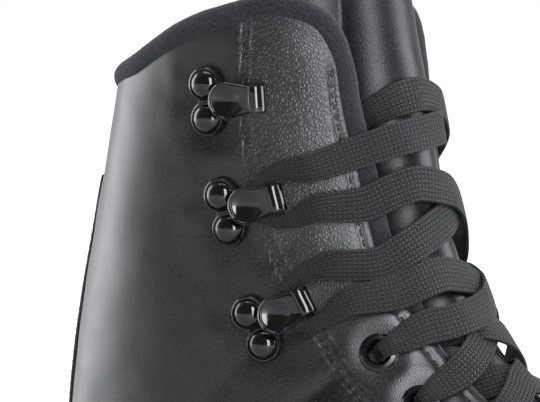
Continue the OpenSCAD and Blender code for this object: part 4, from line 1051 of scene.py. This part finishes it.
def tongue(lace_line):
    """padded front and knit back, swelling between the laces that press it down"""
    t = np.concatenate([np.linspace(T_TONGUE0, 14, 130), np.linspace(14.03, T_TONGUE1, 26)])[:, None]
    q = np.linspace(-1, 1, 90)[None, :]
    half = SPREAD * glide(t, [(5, 0.72), (6.5, 0.9), (8, 1), (14, 1), (14.3, 0.98), (14.5, 0.92),
                              (14.65, 0.82), (T_TONGUE1, 0.62)])
    t, q, half = np.broadcast_arrays(t, q, half)
    a = q * half
    height = tongue_height(t, a)
    p = last_point(t, a, height)
    to_top = np.clip((T_TONGUE1 - t) / 0.28, 0, 1)
    beside = 1 - np.clip((np.abs(q) - 0.9) / 0.1, 0, 1) ** 2
    full = np.sqrt(np.clip(beside, 0, 1)) * np.sqrt(np.clip(1 - (1 - to_top) ** 2, 0, 1))
    pressed = hill(nearest(p, lace_line)[0], 6.5)
    swell = 0.75 * (1 - pressed) * ease((t - 7) / 1.0) * ease((14.5 - t) / 0.4) + 0.3 * ripple(p, 14, 9.0)
    swell -= 0.5 * hill((1 - np.abs(q)) * 42 - 4.5, 0.8)
    front = last_point(t, a, height + swell - 2.3 * (1 - full))
    middle_o = height - 4.8
    pad = block("padded_tongue", front, last_point(t, a, middle_o), {"flap_grain": 0.1 + 0 * t})
    settle(pad, "black_leather", tongue_leather, "tongue_outer", "tongue_foam", body=None)
    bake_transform(pad)
    under = last_point(t, a, height - 7.6 + 2.2 * (1 - full))
    back = block("tongue_knit_back", last_point(t, a, middle_o - 0.05), under)
    settle(back, "lining_textile", knit, "tongue_lining", body=None)
    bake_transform(back)


lace_line, lace_length = braided_lace()
tongue(lace_line)


# ---------------------------------------------------------------- metal, sole and blade
HOOK_H, FOLD_X, TAB_X, TAB_W, NECK_W, LOBE_R = 5.0, 9.4, 2.5, 10.0, 7.0, 4.9
DISH_W, DISH_DEPTH = 7.8, 1.05
TURN = np.radians(np.arange(0, 360, 3.75))
CROWN_RINGS = (1, 0.985, 0.95, 0.9, 0.8, 0.68, 0.54, 0.4, 0.26, 0.13, 0.02)
DISH_RINGS = (0.97, 0.92, 0.84, 0.74, 0.62, 0.5, 0.38, 0.26, 0.14, 0.02)
LOW, HIGH, TAB_TOP = STAND, STAND + SHEET, HOOK_H + SHEET


def reach_of(centre_x, inside):
    """how far each ray from a centre on the hook's middle line goes before it leaves the shape"""
    far = np.linspace(0.1, 16, 640)[:, None]
    x, y = centre_x + far * np.cos(TURN), far * np.sin(TURN)
    return (inside(x, y) * far).max(0)


def base_shape(x, y):
    lobes = [LOBE_R - np.hypot(x + RIVET_X, y - e * RIVET_GAP / 2) for e in (-1, 1)]
    neck = NECK_W / 2 + 1.3 * np.clip((5.5 - x) / 11, 0, 1) - np.abs(y)
    neck = np.minimum(np.minimum(neck, FOLD_X - x), x + RIVET_X + 1.0)
    soft = np.log(sum(np.exp(2.2 * np.clip(q, -20, 8)) for q in (*lobes, neck))) / 2.2
    return soft > 0.25


def tab_shape(x, y):
    taper = TAB_W / 2 + (NECK_W - TAB_W) / 2 * np.clip((x - TAB_X) / (FOLD_X - TAB_X), 0, 1)
    round_end = np.hypot(x - TAB_X, y) < TAB_W / 2
    return np.where(x < TAB_X, round_end, (np.abs(y) < taper) & (x < FOLD_X))


def pressing(name, f, centre, rim, rings):
    """closed pressing of rings: each has an inset from the rim or a radius of its own, and a height"""
    rows = []
    for inset, radius, z in rings:
        r = rim - inset if radius is None else radius * np.ones_like(TURN)
        x, y = centre[0] + r * np.cos(TURN), centre[1] + r * np.sin(TURN)
        rows.append(in_frame(f, x[:, None], y[:, None], z * np.ones((len(TURN), 1))))
    grid = np.array(rows)
    return skin(name, grid, wrap=True, caps=True, outward=unit(grid - grid.mean((0, 1))))


def hook_base(f):
    return pressing("base", f, (0, 0), reach_of(0, base_shape), [
        (0, 0.1, LOW), (0.3, None, LOW), (0, None, LOW + 0.3), (0, None, HIGH - 0.45),
        (0.14, None, HIGH - 0.14), (0.45, None, HIGH), (0.9, None, HIGH - 0.05), (0, 0.1, HIGH - 0.05)])


def hook_rivet(f, side):
    crown = [(0, 3.75 * q, HIGH - 0.25 + 2.2 * (1 - q ** 2.3) ** 0.62) for q in CROWN_RINGS]
    return pressing("rivet", f, (-RIVET_X, side * RIVET_GAP / 2), None, [
        (0, 0.1, UNDER + 1.2), (0, 1.6, UNDER + 1.2), (0, 1.6, LOW), (0, 4.25, HIGH - 0.3),
        (0, 4.3, HIGH + 0.05), (0, 4.15, HIGH + 0.2), (0, 3.95, HIGH + 0.14), (0, 3.82, HIGH - 0.2)] + crown)


def hook_tab(f):
    dish = [(0, DISH_W / 2 * q, TAB_TOP - DISH_DEPTH * (1 - q * q)) for q in DISH_RINGS]
    return pressing("tab", f, (TAB_X, 0), reach_of(TAB_X, tab_shape), [
        (0, 0.1, HOOK_H), (0.3, None, HOOK_H), (0, None, HOOK_H + 0.3), (0, None, TAB_TOP + 0.2),
        (0.08, None, TAB_TOP + 0.4), (0.28, None, TAB_TOP + 0.52), (0.5, None, TAB_TOP + 0.46),
        (0.72, None, TAB_TOP + 0.12), (0.86, None, TAB_TOP), (0, 4.0, TAB_TOP)] + dish)


def hook_fold(f):
    """the neck bent over from the base to the tab, with its long edges eased"""
    bend = np.radians(np.linspace(-90, 90, 25))[:, None]
    wide = NECK_W / 2 * np.array([-1, -0.97, -0.9, -0.5, 0, 0.5, 0.9, 0.97, 1])[None, :]
    eased = np.array([0.22, 0.08, 0, 0, 0, 0, 0, 0.08, 0.22])[None, :]
    radius = (TAB_TOP - STAND) / 2
    sheets = []
    for r in (radius - eased, radius - SHEET + eased):
        x, z = FOLD_X + r * np.cos(bend), STAND + radius + r * np.sin(bend)
        sheets.append(in_frame(f, x[..., None], (wide + 0 * bend)[..., None], z[..., None]))
    return block("fold", *sheets)


def lacing_hook(node, f):
    parts = [hook_base(f), hook_rivet(f, -1), hook_rivet(f, 1), hook_tab(f), hook_fold(f)]
    pick(*parts)
    bpy.ops.object.join()
    made = parts[0]
    made.name = made.data.name = node + "_finished"
    smooth(made, 42)
    settle(made, "black_enamel", enamel, node)


def throat_bead(name, side):
    """the turned and burnished edge of the lacing flap, a thin bead that catches the light, in a lighter
    colour that is partly a painted highlight
    """
    at = np.linspace(6.1, 12.9, 260)
    line, n = last_point(at, throat(at) * side, -0.75), out_of(at, throat(at) * side)
    b = np.cross(n, unit(np.gradient(line, axis=0)))
    ring = np.radians(np.arange(0, 360, 45))[None, :, None]
    offset = n[:, None] * np.cos(ring) * 0.62 + b[:, None] * np.sin(ring) * 0.42
    bead = skin(name, line[:, None] + offset, wrap=True, caps=True, outward=unit(offset))
    settle(bead, "black_leather", burnished)


for part, side in (("lateral", -1), ("medial", 1)):
    for k, (ht, ha, tilt) in enumerate(HOOKS):
        lacing_hook(f"hook_{part}_{k + 1}", local_frame(ht, side * ha, tilt))
throat_bead("lateral_throat_edge", -1)
throat_bead("medial_throat_edge", 1)
from_node("outsole", sole_edge, "sole_rubber", 0.9, 45)
from_node("heel_block", sole_edge, "sole_rubber", 0.7, 45)
from_node("heel_lift", heel_rubber, "sole_rubber", 0.7, 45)
from_node("sole_plate", nickel, "plated_steel", 0.5, 40)
from_node("heel_plate", nickel, "plated_steel", 0.5, 40)
from_node("blade", blade_steel, "blade_steel", 0.3, 40)
from_node("sole_screws", nickel, "plated_steel", 0.25, 40)
from_node("heel_screws", nickel, "plated_steel", 0.25, 40)

# CAD nodes keep their shape here and take these finishes
KEPT = {
    enamel: [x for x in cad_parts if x.startswith("hook_")],
    eyelet_enamel: [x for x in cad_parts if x.startswith(("eyelet_lateral", "eyelet_medial"))],
    nickel: ["rivet_washers", "eyelet_washers"],
    cut_edge: ["facing_lateral", "facing_medial"],
    foam: ["vamp_padding", "ankle_padding_lateral", "ankle_padding_medial", "collar_padding", "tongue_foam"],
    stiffener: ["toe_puff", "heel_counter"],
    fibre: ["insole_board"],
    knit: ["footbed", "vamp_lining", "quarter_lining", "tongue_lining"],
    aglet_film: ["aglets"],
    leather: ["vamp", "quarter_lateral", "quarter_medial", "tongue_outer"],
    felt: ["collar_binding", "backstay"],
    braid: ["lace"],
    sole_edge: ["outsole", "heel_block"],
    heel_rubber: ["heel_lift"],
}
for finish, nodes in KEPT.items():
    for name in nodes:
        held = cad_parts[name]
        if held.material_slots:
            for k in range(len(held.material_slots)):
                held.material_slots[k].material = finish
        else:
            held.data.materials.append(finish)

print("lace length mm", round(lace_length, 1))
